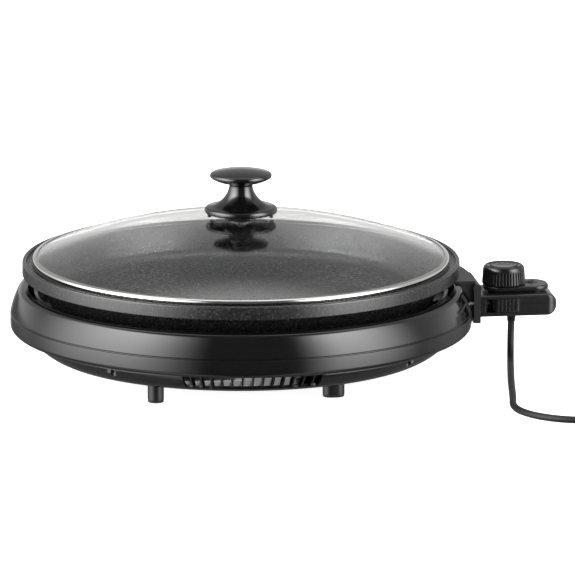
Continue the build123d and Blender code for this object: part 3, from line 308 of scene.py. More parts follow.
def settled(name, mesh, finish, crease, flat_merge=False):
    """Merges doubles, turns faces outwards, smooths below the crease angle and links the piece."""
    work = bmesh.new()
    work.from_mesh(mesh)
    bmesh.ops.remove_doubles(work, verts=work.verts, dist=1e-6)
    if flat_merge:
        bmesh.ops.dissolve_limit(work, angle_limit=math.radians(0.05), verts=work.verts, edges=work.edges)
    bmesh.ops.recalc_face_normals(work, faces=work.faces)
    work.to_mesh(mesh)
    work.free()
    mesh.shade_smooth()
    mesh.set_sharp_from_angle(angle=math.radians(crease))
    mesh.materials.clear()
    mesh.materials.append(finish)
    piece = bpy.data.objects.new(name, mesh)
    scene.collection.objects.link(piece)
    return piece


def arc(start, through, end, steps=10):
    """Points on the circle through three points, from start to end by equal angles. The centre is
    where the two chords' middle lines cross."""
    a, b, c = (np.array(p, float) for p in (start, through, end))
    chords = np.array([b - a, c - a]) * 2
    centre = np.linalg.solve(chords, np.array([b @ b - a @ a, c @ c - a @ a]))
    first, middle, last = (math.atan2(*(p - centre)[::-1]) for p in (a, b, c))
    sweep = (last - first) % (2 * math.pi)
    if (middle - first) % (2 * math.pi) > sweep:
        sweep -= 2 * math.pi
    turn = first + sweep * np.linspace(0, 1, steps)
    return centre + math.hypot(*(a - centre)) * np.stack([np.cos(turn), np.sin(turn)], axis=-1)


def eased(corners, ease, steps=4):
    """A closed outline with each corner softened: a parabola that leaves the edges ease away from
    the corner, or at 0.45 of the shorter edge where that is less. Corners on the axis stay."""
    corners = np.vstack(corners).astype(float)
    corners = corners[np.linalg.norm(corners - np.roll(corners, 1, axis=0), axis=1) > 1e-6]
    before = np.roll(corners, 1, axis=0) - corners
    after = np.roll(corners, -1, axis=0) - corners
    long_before = np.linalg.norm(before, axis=1, keepdims=True)
    long_after = np.linalg.norm(after, axis=1, keepdims=True)
    reach = np.minimum(ease, 0.45 * np.minimum(long_before, long_after)) * (corners[:, :1] > 1e-6)
    start = (corners + before / long_before * reach)[:, None]
    end = (corners + after / long_after * reach)[:, None]
    t = np.linspace(0, 1, steps)[None, :, None]
    return ((1 - t) ** 2 * start + 2 * t * (1 - t) * corners[:, None] + t ** 2 * end).reshape(-1, 2)


def turned(outline, around=240, centre=(0.0, 0.0)):
    """A grid that carries an outline of (radius, height) in mm round an upright axis."""
    turn = np.linspace(0, 2 * np.pi, around, endpoint=False)[:, None]
    radius, height = (outline * mm).T
    flat = np.stack([radius * np.cos(turn), radius * np.sin(turn), height + 0 * turn], axis=-1)
    return flat + np.array([centre[0] * mm, centre[1] * mm, 0.0]), True, True


home = {node: body for body, nodes in frame["record"]["behaviour"]["bodies"].items() for node in nodes}


def stand_in(piece, *nodes):
    """The piece takes the place of these frame nodes and rides where they ride."""
    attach(piece, home[nodes[0]])
    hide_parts(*nodes)
    print(piece.name, "stands for", ", ".join(nodes), "with", len(piece.data.polygons), "faces")
    return piece


def welded(node, finish, edge=0.25, crease=28.0):
    """A copy of a frame node with its loose triangles merged and its edges eased by edge mm."""
    piece = settled(node + "_eased", frame["nodes"][node].data.copy(), finish, crease, flat_merge=True)
    if edge:
        bevel = piece.modifiers.new("eased_edges", "BEVEL")
        bevel.width = edge * mm
        bevel.segments = 2
        bevel.limit_method = "ANGLE"
        bevel.angle_limit = math.radians(35)
        bevel.harden_normals = True
    return stand_in(piece, node)


# %% [markdown]
# ## The floor
# The griddle stands on a wide sheet of pale paper. It is a big disc, so no view looks past its
# edge. Paper bounces light softly, and the lamps are bright enough to burn it out to white. The
# polished plastic mirrors the studio and not the paper, so the disc is left out of reflections.

# %% Floor
floor_radius, floor_rings = 9000.0, 4
paper, paper_tree, paper_shader = new_finish("pale_paper", Roughness=0.9, Emission_Strength=0.9)
paper_shader.inputs["Emission Color"].default_value = paint("#FFFFFF")
paper_place = add_node(paper_tree, "ShaderNodeTexCoord").outputs["Object"]
paper_fibre = add_node(paper_tree, "ShaderNodeTexNoise", {
    "Vector": paper_place, "Scale": per_mm(4), "Detail": 3.0})
paper_tone = add_node(paper_tree, "ShaderNodeMix", {
    0: paper_fibre.outputs["Fac"], 6: paint("#E9E9E7"), 7: paint("#F3F3F1")}, data_type="RGBA")
paper_tree.links.new(paper_tone.outputs[2], paper_shader.inputs["Base Color"])
disc = np.stack([np.linspace(0, floor_radius, floor_rings), np.full(floor_rings, -0.02)], axis=-1)
floor_grid = turned(disc, around=64)[0]
floor = surface("paper_floor", [(floor_grid, True, False)], paper)
floor.visible_glossy = False
print("floor radius in m:", floor_radius * mm)

# %% [markdown]
# ## Moulded plastics
# The casing is polished black ABS, the socket a matt phenolic, the controller a satin nylon and the
# feet rubber. They differ in colour, in gloss and in the fine skin that the mould leaves, so one
# recipe makes them all: a noise of the skin's real size tips the surface a few hundredths of a
# millimetre, and a broad noise makes the gloss and the tone drift as handling does.

# %% Moulded plastic finishes


def moulded(name, colour, worn, gloss, skin, depth, drift=0.04, index=1.5):
    """Skin size and depth are in mm. Roughness is gloss plus or minus drift; the tone goes from
    colour to worn by the same broad noise."""
    material, tree, shader = new_finish(name, IOR=index)
    place = add_node(tree, "ShaderNodeTexCoord").outputs["Object"]
    grain = add_node(tree, "ShaderNodeTexNoise", {"Vector": place, "Scale": per_mm(skin), "Detail": 3.0})
    tilt = add_node(tree, "ShaderNodeBump", {"Height": grain.outputs["Fac"], "Distance": depth * mm})
    handling = add_node(tree, "ShaderNodeTexNoise", {"Vector": place, "Scale": per_mm(55), "Detail": 5.0})
    rough = add_node(tree, "ShaderNodeMapRange", {
        "Value": handling.outputs["Fac"], "From Min": 0.3, "From Max": 0.7,
        "To Min": gloss - drift, "To Max": gloss + drift})
    tone = add_node(tree, "ShaderNodeMix", {
        0: handling.outputs["Fac"], 6: paint(colour), 7: paint(worn)}, data_type="RGBA")
    tree.links.new(tone.outputs[2], shader.inputs["Base Color"])
    tree.links.new(rough.outputs["Result"], shader.inputs["Roughness"])
    tree.links.new(tilt.outputs["Normal"], shader.inputs["Normal"])
    return material


casing_abs = moulded("polished_black_abs", "#070708", "#0B0B0C", 0.10, skin=7.0, depth=0.02, drift=0.03)
knob_phenolic = moulded("knob_phenolic", "#070707", "#0A0A0A", 0.07, skin=5.0, depth=0.01, drift=0.02, index=1.6)
controller_nylon = moulded("satin_controller_nylon", "#151516", "#1C1C1D", 0.24, skin=0.9, depth=0.02)
dial_nylon = moulded("dial_nylon", "#0A0A0B", "#101011", 0.18, skin=0.8, depth=0.01)
dial_gloss = moulded("polished_dial_disc", "#0C0C0D", "#111112", 0.09, skin=4.0, depth=0.01, drift=0.02, index=1.6)
socket_phenolic = moulded("matt_socket_phenolic", "#151516", "#202021", 0.42, skin=0.8, depth=0.04, index=1.55)
foot_plastic = moulded("foot_plastic", "#09090A", "#101011", 0.42, skin=1.0, depth=0.02, index=1.45)
foot_rubber = moulded("foot_rubber", "#101010", "#1B1B1A", 0.75, skin=0.6, depth=0.05)
silicone = moulded("black_silicone", "#0E0E0E", "#171717", 0.55, skin=0.5, depth=0.02, index=1.41)
cord_vinyl = moulded("cord_vinyl", "#060607", "#0B0B0C", 0.55, skin=0.7, depth=0.03, index=1.42)
plug_vinyl = moulded("plug_vinyl", "#0B0B0C", "#151516", 0.40, skin=0.6, depth=0.03, index=1.53)
tie_vinyl = moulded("tie_vinyl", "#121214", "#1C1C1E", 0.45, skin=0.4, depth=0.03)
print("moulded finishes:", len(bpy.data.materials))

# %% [markdown]
# ## The pan's coating
# The pan is cast aluminium sprayed with a dark non-stick coat that carries metal flakes. The spray
# dries into low lumps about a millimetre and a half across, and the flakes glint between them. Two
# noises bend the surface, and a cell pattern picks out single flakes that are lighter and harder.

# %% Non-stick coating


def nonstick_coating():
    """Lumps of 1.6 mm and 0.7 mm tilt the surface; one cell in some carries a pale flake."""
    material, tree, shader = new_finish("flecked_nonstick", IOR=1.6)
    place = add_node(tree, "ShaderNodeTexCoord").outputs["Object"]
    lumps = add_node(tree, "ShaderNodeTexNoise", {"Vector": place, "Scale": per_mm(2.6), "Detail": 2.0})
    pits = add_node(tree, "ShaderNodeTexNoise", {"Vector": place, "Scale": per_mm(0.9), "Detail": 2.0})
    low = add_node(tree, "ShaderNodeBump", {"Height": lumps.outputs["Fac"], "Distance": 0.07 * mm})
    fine = add_node(tree, "ShaderNodeBump", {
        "Height": pits.outputs["Fac"], "Distance": 0.02 * mm, "Normal": low.outputs["Normal"]})
    flakes = add_node(tree, "ShaderNodeTexVoronoi", {"Vector": place, "Scale": per_mm(0.9)})
    chosen = add_node(tree, "ShaderNodeSeparateColor", {0: flakes.outputs["Color"]})
    glint = add_node(tree, "ShaderNodeMapRange", {
        "Value": chosen.outputs[0], "From Min": 0.82, "From Max": 0.97, "To Min": 0.0, "To Max": 1.0})
    tone = add_node(tree, "ShaderNodeMix", {
        0: glint.outputs["Result"], 6: paint("#0F0F10"), 7: paint("#48484A")}, data_type="RGBA")
    rough = add_node(tree, "ShaderNodeMapRange", {
        "Value": lumps.outputs["Fac"], "From Min": 0.3, "From Max": 0.7, "To Min": 0.25, "To Max": 0.34})
    metal = add_node(tree, "ShaderNodeMath", {0: glint.outputs["Result"], 1: 0.6}, operation="MULTIPLY")
    tree.links.new(tone.outputs[2], shader.inputs["Base Color"])
    tree.links.new(metal.outputs[0], shader.inputs["Metallic"])
    tree.links.new(rough.outputs["Result"], shader.inputs["Roughness"])
    tree.links.new(fine.outputs["Normal"], shader.inputs["Normal"])
    return material


pan_coating = nonstick_coating()

# %% [markdown]
# ## Metals
# A metal has no colour under its shine, so its tint and the way it was worked say what it is. The
# lid's ring is polished stainless steel with fine lines round it, the screws are zinc plated, the
# shield is spun aluminium, the heater's sheath has a blue-brown heat stain, and the pins are nickel
# on brass. The recipe stretches a noise along the working direction and adds a stain.

# %% Metal finishes


def worked_metal(name, colour, stain, gloss, line, stretch=(1.0, 1.0, 1.0), depth=0.004, drift=0.05):
    """Noise with lines of line mm, stretched along the axes by stretch, tilts the surface by depth
    mm and varies the gloss; a broad noise mixes colour with stain."""
    material, tree, shader = new_finish(name, Metallic=1.0)
    place = add_node(tree, "ShaderNodeTexCoord").outputs["Object"]
    drawn = add_node(tree, "ShaderNodeMapping", {"Vector": place, "Scale": stretch})
    lines = add_node(tree, "ShaderNodeTexNoise", {
        "Vector": drawn.outputs["Vector"], "Scale": per_mm(line), "Detail": 3.0})
    tilt = add_node(tree, "ShaderNodeBump", {"Height": lines.outputs["Fac"], "Distance": depth * mm})
    broad = add_node(tree, "ShaderNodeTexNoise", {"Vector": place, "Scale": per_mm(30), "Detail": 4.0})
    rough = add_node(tree, "ShaderNodeMapRange", {
        "Value": lines.outputs["Fac"], "From Min": 0.3, "From Max": 0.7,
        "To Min": gloss - drift, "To Max": gloss + drift})
    tone = add_node(tree, "ShaderNodeMix", {
        0: broad.outputs["Fac"], 6: paint(colour), 7: paint(stain)}, data_type="RGBA")
    tree.links.new(tone.outputs[2], shader.inputs["Base Color"])
    tree.links.new(rough.outputs["Result"], shader.inputs["Roughness"])
    tree.links.new(tilt.outputs["Normal"], shader.inputs["Normal"])
    return material


ring_steel = worked_metal("polished_stainless", "#D8D8D6", "#CFCFCC", 0.10, 0.8, (0.05, 0.05, 1.0), drift=0.03)
zinc_steel = worked_metal("zinc_plated_steel", "#B9BBB8", "#A3A49C", 0.28, 0.6)
shield_aluminium = worked_metal("spun_aluminium", "#C3C4C4", "#A9AAAA", 0.34, 0.9, (0.1, 0.1, 1.0))
heater_sheath = worked_metal("heat_stained_sheath", "#6A625B", "#3E4148", 0.42, 0.7, depth=0.01)
nickel_brass = worked_metal("nickel_on_brass", "#C9C5B8", "#B7A98A", 0.18, 0.5)
probe_steel = worked_metal("drawn_probe_steel", "#BFBFBC", "#A8A49C", 0.22, 0.5, (0.05, 1.0, 1.0))

# %% [markdown]
# ## Glass and ceramic
# The lid is tempered soda-lime glass: clear, a trace of green, with a slow wave in its surface
# from the oven. It is a solid dome with two faces, so light bends and mirrors twice as it should.
# The lamp's lens is amber acrylic, its bulb thin glass, and the heater's beads are white ceramic.

# %% Glass and ceramic finishes


def clear_finish(name, colour, index, wave, depth, roughness=0.0):
    """Full transmission with this tint; a slow noise of wave mm tips the surface by depth mm."""
    material, tree, shader = new_finish(name, IOR=index, Roughness=roughness, Transmission_Weight=1.0)
    shader.inputs["Base Color"].default_value = paint(colour)
    place = add_node(tree, "ShaderNodeTexCoord").outputs["Object"]
    swell = add_node(tree, "ShaderNodeTexNoise", {"Vector": place, "Scale": per_mm(wave), "Detail": 1.0})
    tilt = add_node(tree, "ShaderNodeBump", {"Height": swell.outputs["Fac"], "Distance": depth * mm})
    tree.links.new(tilt.outputs["Normal"], shader.inputs["Normal"])
    return material


lid_glass_clear = clear_finish("tempered_lid_glass", "#F8F9F8", 1.52, wave=60.0, depth=0.03)
lens_amber = clear_finish("amber_lamp_lens", "#C24A12", 1.49, wave=2.0, depth=0.02, roughness=0.08)
bulb_glass = clear_finish("lamp_bulb_glass", "#F6D9C0", 1.47, wave=3.0, depth=0.01)
steatite = moulded("white_steatite", "#DEDACF", "#C9C2B2", 0.45, skin=0.5, depth=0.03)
dial_print = moulded("dial_print", "#8E8E8C", "#7C7C7A", 0.50, skin=0.3, depth=0.01)

# %% [markdown]
# ## The upper casing
# The upper casing is one injection moulding: a ring with an upright foot, a fine line where the
# mould opened, a gently bulging slope and a rolled lip. Its outline is a few arcs and edges, turned
# about the pan's axis. The gap where the controller's socket stands is then cut out of it.

# %% Upper casing
upper_outline = eased([
    arc((195.0, 38.0), (198.6, 39.1), (200.65, 42.0), 8),
    [(200.65, 53.2), (199.6, 53.5), (199.6, 54.3)],
    arc((200.3, 54.7), (197.85, 63.2), (194.2, 71.8), 18),
    arc((194.2, 71.8), (192.1, 74.2), (189.0, 75.15), 9),
    [(185.05, 75.15), (185.05, 72.4), (189.2, 70.6), (194.2, 60.0), (194.6, 54.0),
     (197.7, 50.6), (197.7, 46.2), (189.25, 41.0), (189.25, 38.0)],
], ease=0.45)
upper_casing = surface("upper_casing", [turned(upper_outline, 288)], casing_abs)


def cut_box(piece, low, high):
    """Takes a box, given by two corners in mm, out of the piece and keeps the result as its mesh."""
    corners = np.array([[low, high][k][i] for c in range(8) for i, k in enumerate((c & 1, c >> 1 & 1, c >> 2))])
    box = bpy.data.meshes.new("cutter")
    sides = [(0, 2, 3, 1), (4, 5, 7, 6), (0, 1, 5, 4), (2, 6, 7, 3), (0, 4, 6, 2), (1, 3, 7, 5)]
    box.from_pydata((corners.reshape(-1, 3) * mm).tolist(), [], sides)
    cutter = bpy.data.objects.new("cutter", box)
    scene.collection.objects.link(cutter)
    cut = piece.modifiers.new("cut", "BOOLEAN")
    cut.object, cut.operation, cut.solver = cutter, "DIFFERENCE", "EXACT"
    graph = bpy.context.evaluated_depsgraph_get()
    result = bpy.data.meshes.new_from_object(piece.evaluated_get(graph))
    piece.modifiers.clear()
    piece.data = result
    bpy.data.objects.remove(cutter)
    result.shade_smooth()
    result.set_sharp_from_angle(angle=math.radians(32))


cut_box(upper_casing, (180.0, -21.9, 44.0), (210.0, 21.9, 84.0))
stand_in(upper_casing, "body_upper_shell")
lower_casing = welded("body_lower_shell", casing_abs, edge=0.2, crease=32.0)

# %% [markdown]
# ## The pan
# The cast pan is one outline turned round: a flat cooking face, a sloping wall, a ledge that
# carries the lid and a rounded rim with a skirt. Its coating follows every edge softly, so the
# corners are eased by more than a machined part's would be.

# %% Pan
pan_outline = eased([
    [(0, 61.0), (106.0, 61.0), (107.0, 59.5), (123.0, 59.5), (124.0, 61.0), (163.0, 61.0), (166.6, 62.6),
     (179.2, 91.4), (186.2, 91.4), (186.4, 86.4), (189.4, 86.4), (190.0, 87.0)],
    arc((190.0, 96.4), (189.3, 97.9), (188.0, 98.25), 6),
    [(186.6, 97.9), (186.1, 96.6), (185.9, 95.2), (176.5, 95.2)],
    arc((168.6, 77.2), (163.6, 69.2), (152.0, 66.0), 14),
    [(0, 66.0)],
], ease=0.7)
pan = surface("flecked_pan", [turned(pan_outline, 288)], pan_coating)
stand_in(pan, "griddle_pan")

# %% [markdown]
# ## The lid
# The glass is a shallow cap of a sphere nearly a metre across, four millimetres thick, with a
# ground round edge. A strip of stainless steel is rolled round that edge as a channel. The glass
# is drawn as the closed outline of its section, from the hole for the knob's screw to the rim.

# %% Lid glass and ring
glass_sphere, glass_top, glass_wall = 487.0, 135.0, 4.0


def crown(top, sphere, radii):
    """Points on a sphere's cap: height is top, less sphere, plus the root of sphere² minus radius²."""
    radii = np.asarray(radii, float)
    return np.stack([radii, top - sphere + np.sqrt(sphere ** 2 - radii ** 2)], axis=-1)


glass_over = crown(glass_top, glass_sphere, np.linspace(3.2, 179.55, 60))
glass_under = crown(glass_top - glass_wall, glass_sphere - glass_wall, np.linspace(179.55, 3.2, 60))
glass_rim = arc(glass_over[-1], (180.05, (glass_over[-1][1] + glass_under[0][1]) / 2), glass_under[0], 9)
glass = surface("lid_dome", [turned(np.vstack([glass_over, glass_rim[1:-1], glass_under]), 288)],
                lid_glass_clear, crease=50.0)
stand_in(glass, "lid_glass")

ring_outline = eased([
    [(174.2, 95.5), (180.7, 95.5), (181.2, 96.0)],
    arc((181.2, 98.6), (180.6, 101.0), (178.6, 101.9), 8),
    [(177.2, 102.3), (177.0, 101.75)],
    arc((178.3, 101.3), (179.9, 100.6), (180.4, 99.0), 8),
    [(180.4, 96.3), (174.2, 96.3)],
], ease=0.25)
stand_in(surface("rolled_ring", [turned(ring_outline, 288)], ring_steel, crease=60.0), "lid_ring")

# %% [markdown]
# ## The knob
# The knob is two glossy phenolic mouldings on one screw. The base flares from a thin neck to a
# round flange and stands on small pips, so that air keeps it cool. The cap is a flat mushroom. Both
# are turned from outlines of arcs, and the pips are eight short turned pegs round the flange.

# %% Knob
flange_outline = eased([
    [(2.6, 137.4), (9.5, 137.4), (10.5, 140.0), (30.4, 140.0)],
    arc((30.8, 140.1), (31.65, 142.2), (30.7, 144.6), 7),
    arc((29.6, 145.2), (15.6, 152.2), (10.2, 163.2), 20),
    [(10.2, 164.0), (2.6, 164.0)],
], ease=0.35)
pip_outline = eased([[(0, 137.6), (1.7, 137.6), (1.7, 140.6), (0, 140.6)]], ease=0.5)
pip_turns = np.radians(12.0 + 45.0 * np.arange(8))
pips = [turned(pip_outline, 20, (29.0 * math.cos(a), 29.0 * math.sin(a))) for a in pip_turns]
knob_foot = surface("knob_flange", [turned(flange_outline, 128)] + pips, knob_phenolic)
stand_in(knob_foot, "knob_base")

crown_sphere = (25.4 ** 2 + 3.2 ** 2) / 6.4
cap_outline = eased([
    [(0, 164.2), (10.4, 164.2), (10.8, 166.0)],
    arc((10.8, 166.0), (18.5, 167.3), (25.0, 170.2), 14),
    arc((25.0, 170.2), (26.95, 172.6), (25.2, 174.95), 9),
    crown(178.1, crown_sphere, np.linspace(24.6, 0.0, 16)),
], ease=0.5)
stand_in(surface("knob_mushroom", [turned(cap_outline, 128)], knob_phenolic), "knob_cap")

# %% [markdown]
# ## The dial
# The dial is a tapered nylon knob with forty grip grooves and a raised bright rim. The grooves are
# part of the surface: the radius is the outline's radius less a rounded notch that comes back forty
# times a turn and fades out below the rim. A flat insert carries plain numbers round its edge.

# %% Dial
dial_centre = (231.2, 0.0)
flutes = 40
dial_outline = eased([
    [(0, 70.0), (18.5, 70.0), (19.05, 70.6), (18.9, 72.5), (18.75, 74.5), (18.6, 76.5), (18.45, 78.5),
     (18.35, 80.3), (18.3, 81.4), (18.2, 83.2), (17.4, 85.2), (16.2, 86.4), (14.8, 86.7), (12.6, 85.9),
     (11.6, 85.5), (11.6, 84.4), (0, 84.4)],
], ease=0.5)
dial_around = flutes * 14
dial_grid = turned(dial_outline, dial_around, dial_centre)[0]
groove = np.maximum(0.0, np.cos(flutes * np.linspace(0, 2 * np.pi, dial_around, endpoint=False))) ** 1.5
on_side = eased_step(dial_outline[:, 0], 17.6, 18.4) * (1 - eased_step(dial_outline[:, 1], 80.6, 82.4))
spokes = dial_grid - np.array([dial_centre[0] * mm, dial_centre[1] * mm, 0.0])
share = 1.0 - 0.75 / 18.6 * groove[:, None] * on_side[None, :]
dial_grid[..., 0] = dial_centre[0] * mm + spokes[..., 0] * share
dial_grid[..., 1] = dial_centre[1] * mm + spokes[..., 1] * share
stand_in(surface("fluted_dial", [(dial_grid, True, True)], dial_nylon, crease=45.0), "dial")

insert_outline = eased([[(0, 84.5), (11.4, 84.5), (11.4, 86.35), (10.2, 86.35), (9.8, 86.1), (0, 86.1)]], ease=0.2)
insert = surface("dial_disc", [turned(insert_outline, 96, dial_centre)], dial_gloss)
stand_in(insert, "dial_insert")


def dial_numbers():
    """Plain numbers round the insert, each turned to face the middle and pressed 0.1 mm proud."""
    count = 8
    for k in range(count):
        words = bpy.data.curves.new("number", "FONT")
        words.body = str(k)
        words.size = 3.0 * mm
        words.extrude = 0.05 * mm
        words.align_x, words.align_y = "CENTER", "CENTER"
        holder = bpy.data.objects.new("number", words)
        scene.collection.objects.link(holder)
        graph = bpy.context.evaluated_depsgraph_get()
        mesh = bpy.data.meshes.new_from_object(holder.evaluated_get(graph))
        bpy.data.objects.remove(holder)
        turn = math.radians(250 - 280 * k / (count - 1))
        seat = Vector((dial_centre[0] * mm + 7.4 * mm * math.cos(turn), 7.4 * mm * math.sin(turn), 86.12 * mm))
        mesh.transform(Matrix.Translation(seat) @ Matrix.Rotation(turn - math.pi / 2, 4, "Z"))
        mesh.materials.clear()
        mesh.materials.append(dial_print)
        number = bpy.data.objects.new(f"dial_number_{k}", mesh)
        scene.collection.objects.link(number)
        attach(number, "dial")
    print("dial numbers:", count)


dial_numbers()

# %% [markdown]
# ## The controller's top cover
# The raised cover is a long rounded plate on the housing, undercut round its foot and with a thin
# groove along its side. It is a rounded rectangle shrunk by a different amount at each height, so
# one outline in plan and one down the side make the whole of it. The lamp's collar is turned.

# %% Top cover


def rounded_plan(half_x, half_y, corner, steps=14):
    """Corner centres and unit directions of a rounded rectangle, quarter by quarter."""
    quarters = np.arange(4)[:, None] * 90.0 + np.linspace(0, 90, steps)[None, :]
    turn = np.radians(quarters)
    signs = np.array([(1, 1), (-1, 1), (-1, -1), (1, -1)], float)[:, None, :]
    middle = signs * np.array([half_x - corner, half_y - corner]) + 0 * turn[..., None]
    return middle.reshape(-1, 2), np.stack([np.cos(turn), np.sin(turn)], axis=-1).reshape(-1, 2)


def plate(centre, half_x, half_y, corner, side):
    """A closed solid: side gives (shrink, height) pairs in mm from the bottom's middle to the top's.
    Each level is the plan moved in by shrink; the first and the last close in one point."""
    middle, outward = rounded_plan(half_x, half_y, corner)
    shrink, height = np.asarray(side, float).T
    flat = middle[None] + outward[None] * (corner - shrink)[:, None, None]
    levels = np.concatenate([flat, np.broadcast_to(height[:, None, None], flat.shape[:2] + (1,))], axis=-1)
    ends = [np.broadcast_to([0.0, 0.0, height[k]], levels[:1].shape) for k in (0, -1)]
    solid = np.concatenate([ends[0], levels, ends[1]]) + np.array([centre[0], centre[1], 0.0])
    return solid * mm, False, True


cover_side = [(6.0, 64.0), (3.8, 64.0), (3.6, 65.6), (0.5, 65.7), (0.1, 65.85), (0.0, 66.1), (0.0, 66.7),
              (0.4, 66.9), (0.4, 67.3), (0.0, 67.5), (0.0, 68.1), (0.15, 68.7), (0.45, 69.1),
              (0.9, 69.4), (1.5, 69.5), (3.5, 69.5)]
collar = eased([[(3.0, 69.0), (5.2, 69.0), (5.2, 70.05), (3.0, 70.05)]], ease=0.35)
cover = surface("controller_cover", [
    plate((241.5, 0.0), 28.5, 16.5, 14.0, cover_side),
    turned(collar, 48, (256.0, 4.0)),
], controller_nylon, crease=40.0)
stand_in(cover, "controller_top_cover")

# %% [markdown]
# ## Cord fittings
# The strain relief is a rubbery sleeve that narrows towards the cord, with rings moulded round it
# so that it bends evenly. The plug is a soft vinyl body that swells from the cord to its face. Its
# section is a squared oval whose half width, half height and squareness change along its length.

# %% Strain relief and plug
relief_rings = 7
relief_height = np.linspace(36.0, 44.8, relief_rings * 8 + 1)
relief_bulge = 0.28 * np.cos((relief_height - 36.0) / (44.8 - 36.0) * relief_rings * 2 * np.pi)
relief_side = np.stack([3.75 + 0.5 * (relief_height - 36.0) / 8.8 + relief_bulge - 0.28, relief_height], axis=-1)
relief_outline = np.vstack([
    [(3.08, 36.0)], relief_side, [(4.25, 47.2), (6.0, 47.2), (6.0, 49.3), (3.6, 49.3), (3.6, 56.8), (3.08, 56.8)]])
relief = surface("strain_relief", [turned(relief_outline, 64, (238.0, 0.0))], plug_vinyl, crease=50.0)
stand_in(relief, "cord_gland")

plug_turn = math.radians(99.3)
plug_along = np.array([math.cos(plug_turn), math.sin(plug_turn), 0.0])
plug_across = np.array([math.sin(plug_turn), -math.cos(plug_turn), 0.0])
plug_start = np.array(tail_route[4]) / mm
plug_stations = np.array([
    # along, half width, half height, squareness
    (0.05, 3.9, 3.9, 2.0), (0.4, 4.1, 4.1, 2.0), (6.0, 4.7, 4.5, 2.0), (13.0, 5.7, 5.2, 2.3), (14.0, 7.2, 5.8, 2.6),
    (14.6, 9.6, 6.6, 3.0), (16.0, 10.1, 6.85, 3.2), (24.0, 11.1, 7.4, 3.4), (33.0, 12.2, 8.1, 3.6),
    (35.6, 12.5, 8.3, 3.8), (36.2, 13.2, 8.45, 4.0), (36.8, 13.45, 8.5, 4.0), (38.4, 13.45, 8.5, 4.0),
    (39.0, 12.9, 8.0, 4.0)])


def plug_solid():
    """Squared ovals: each coordinate is its half size times the sign and the 2/n power of cos or sin."""
    fine = np.interp(np.linspace(0, len(plug_stations) - 1, 96)[:, None] + np.zeros(4),
                     np.arange(len(plug_stations)), plug_stations[:, 0])[:, 0]
    wide, high, power = (np.interp(fine, plug_stations[:, 0], plug_stations[:, k]) for k in (1, 2, 3))
    ring = 0.22 * np.maximum(0.0, np.cos((fine - 2.0) / 3.0 * 2 * np.pi)) * (fine < 12.5) * (fine > 1.2)
    turn = np.linspace(0, 2 * np.pi, 72, endpoint=False)[None, :]
    across = (wide + ring)[:, None] * np.sign(np.cos(turn)) * np.abs(np.cos(turn)) ** (2 / power[:, None])
    upward = (high + ring)[:, None] * np.sign(np.sin(turn)) * np.abs(np.sin(turn)) ** (2 / power[:, None])
    ring_shape = (72, 1)
    ends = [np.zeros((1, 72)), np.zeros((1, 72))]
    across, upward = (np.vstack([ends[0], v, ends[1]]) for v in (across, upward))
    fine = np.concatenate([fine[:1], fine, fine[-1:]])
    spine = plug_start + fine[:, None, None] * plug_along + np.zeros(ring_shape)
    return (spine + across[..., None] * plug_across + upward[..., None] * np.array([0, 0, 1.0])) * mm


plug = surface("mains_plug", [(plug_solid(), False, True)], plug_vinyl, crease=40.0)
stand_in(plug, "plug_body")
blades = welded("plug_blades", nickel_brass, edge=0.2)

# %% [markdown]
# ## The cord's tie and finish
# The coil is held by a soft strap round its six strands. The strap follows a rounded box round the
# coil's section, so it is a ring of such boxes with a thickness. The cord itself is the curve made
# above; it now takes its vinyl and rides with the controller.

# %% Tie and cord
tie_turn = math.radians(120.0)
tie_out = np.array([math.cos(tie_turn), math.sin(tie_turn), 0.0])
tie_along = np.array([-math.sin(tie_turn), math.cos(tie_turn), 0.0])


def tie_loop():
    """A band: a rounded box round the strands, carried over a small closed outline of thickness
    and width, which is drawn with its own corners eased."""
    middle, outward = rounded_plan(10.25, 7.0, 3.6, 10)
    band = np.array([(-0.45, -2.8), (-0.1, -2.9), (0.0, -2.7), (0.0, 2.7), (-0.1, 2.9), (-0.45, 2.8)])
    flat = middle[:, None] + outward[:, None] * (3.6 + band[None, :, :1])
    centre = np.array([coil_centre[0] / mm, coil_centre[1] / mm, 7.1]) + 35.0 * tie_out
    up = np.array([0, 0, 1.0])
    return (centre + flat[..., :1] * tie_out + flat[..., 1:] * up + band[None, :, 1:] * tie_along) * mm


tie = surface("coil_strap", [(tie_loop(), True, True)], tie_vinyl, crease=50.0)
stand_in(tie, "cord_tie")

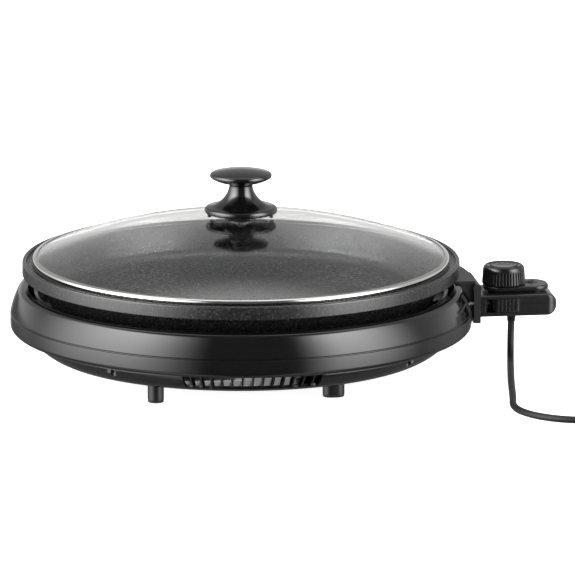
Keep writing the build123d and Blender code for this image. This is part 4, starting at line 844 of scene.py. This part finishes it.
cord_curve.materials.append(cord_vinyl)
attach(mains_cord, "controller")
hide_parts("power_cord", "cord_coil", "cord_tail")
for piece in (mains_cord, tie, plug, blades):
    piece.visible_glossy = False  # the put-away coil stays out of the casing's polish

# %% [markdown]
# ## Pieces kept in their own shape
# The rest of the mouldings and stampings are right as they were drawn. The ones that show are
# welded copies with slightly eased edges, because no real edge is perfectly sharp and the thin
# bright line along it is what makes a casing look moulded. The ones inside only take a finish.

# %% Eased and hidden pieces
shown = {
    "controller_socket": (socket_phenolic, 0.4),
    "controller_lower_shell": (controller_nylon, 0.5),
    "controller_upper_shell": (controller_nylon, 0.5),
    "controller_nose": (socket_phenolic, 0.3),
    "slide_catch": (controller_nylon, 0.25),
    "feet": (foot_plastic, 0.3),
    "foot_pads": (foot_rubber, 0.0),
    "heat_shield": (shield_aluminium, 0.0),
    "terminal_pins": (nickel_brass, 0.0),
    "terminal_guard": (shield_aluminium, 0.1),
    "heat_probe": (probe_steel, 0.0),
    "probe_receiver": (probe_steel, 0.1),
    "pilot_lens": (lens_amber, 0.0),
    "heating_element": (heater_sheath, 0.0),
    "knob_gasket": (silicone, 0.1),
    "inner_gasket": (silicone, 0.1),
    "knob_washer": (zinc_steel, 0.1),
    "inner_washer": (zinc_steel, 0.1),
    "knob_screw": (zinc_steel, 0.15),
    "pan_screws": (zinc_steel, 0.1),
    "controller_screws": (zinc_steel, 0.1),
}
inside = {
    "body_screws": zinc_steel,
    "foot_screws": zinc_steel,
    "shield_spacers": zinc_steel,
    "pan_spacers": steatite,
    "pin_insulators": steatite,
    "heater_straps": shield_aluminium,
    "guard_screws": zinc_steel,
    "socket_screws": zinc_steel,
    "socket_terminals": nickel_brass,
    "thermostat_frame": zinc_steel,
    "contact_blade": nickel_brass,
    "pilot_bulb": bulb_glass,
    "dial_spindle": zinc_steel,
}
for node, (finish, edge) in shown.items():
    welded(node, finish, edge)
for node, finish in inside.items():
    frame["nodes"][node].data.materials.clear()
    frame["nodes"][node].data.materials.append(finish)
bare = [name for name, node in frame["nodes"].items() if not node.hide_render and name not in inside]
print("frame pieces that still have no finish:", bare)
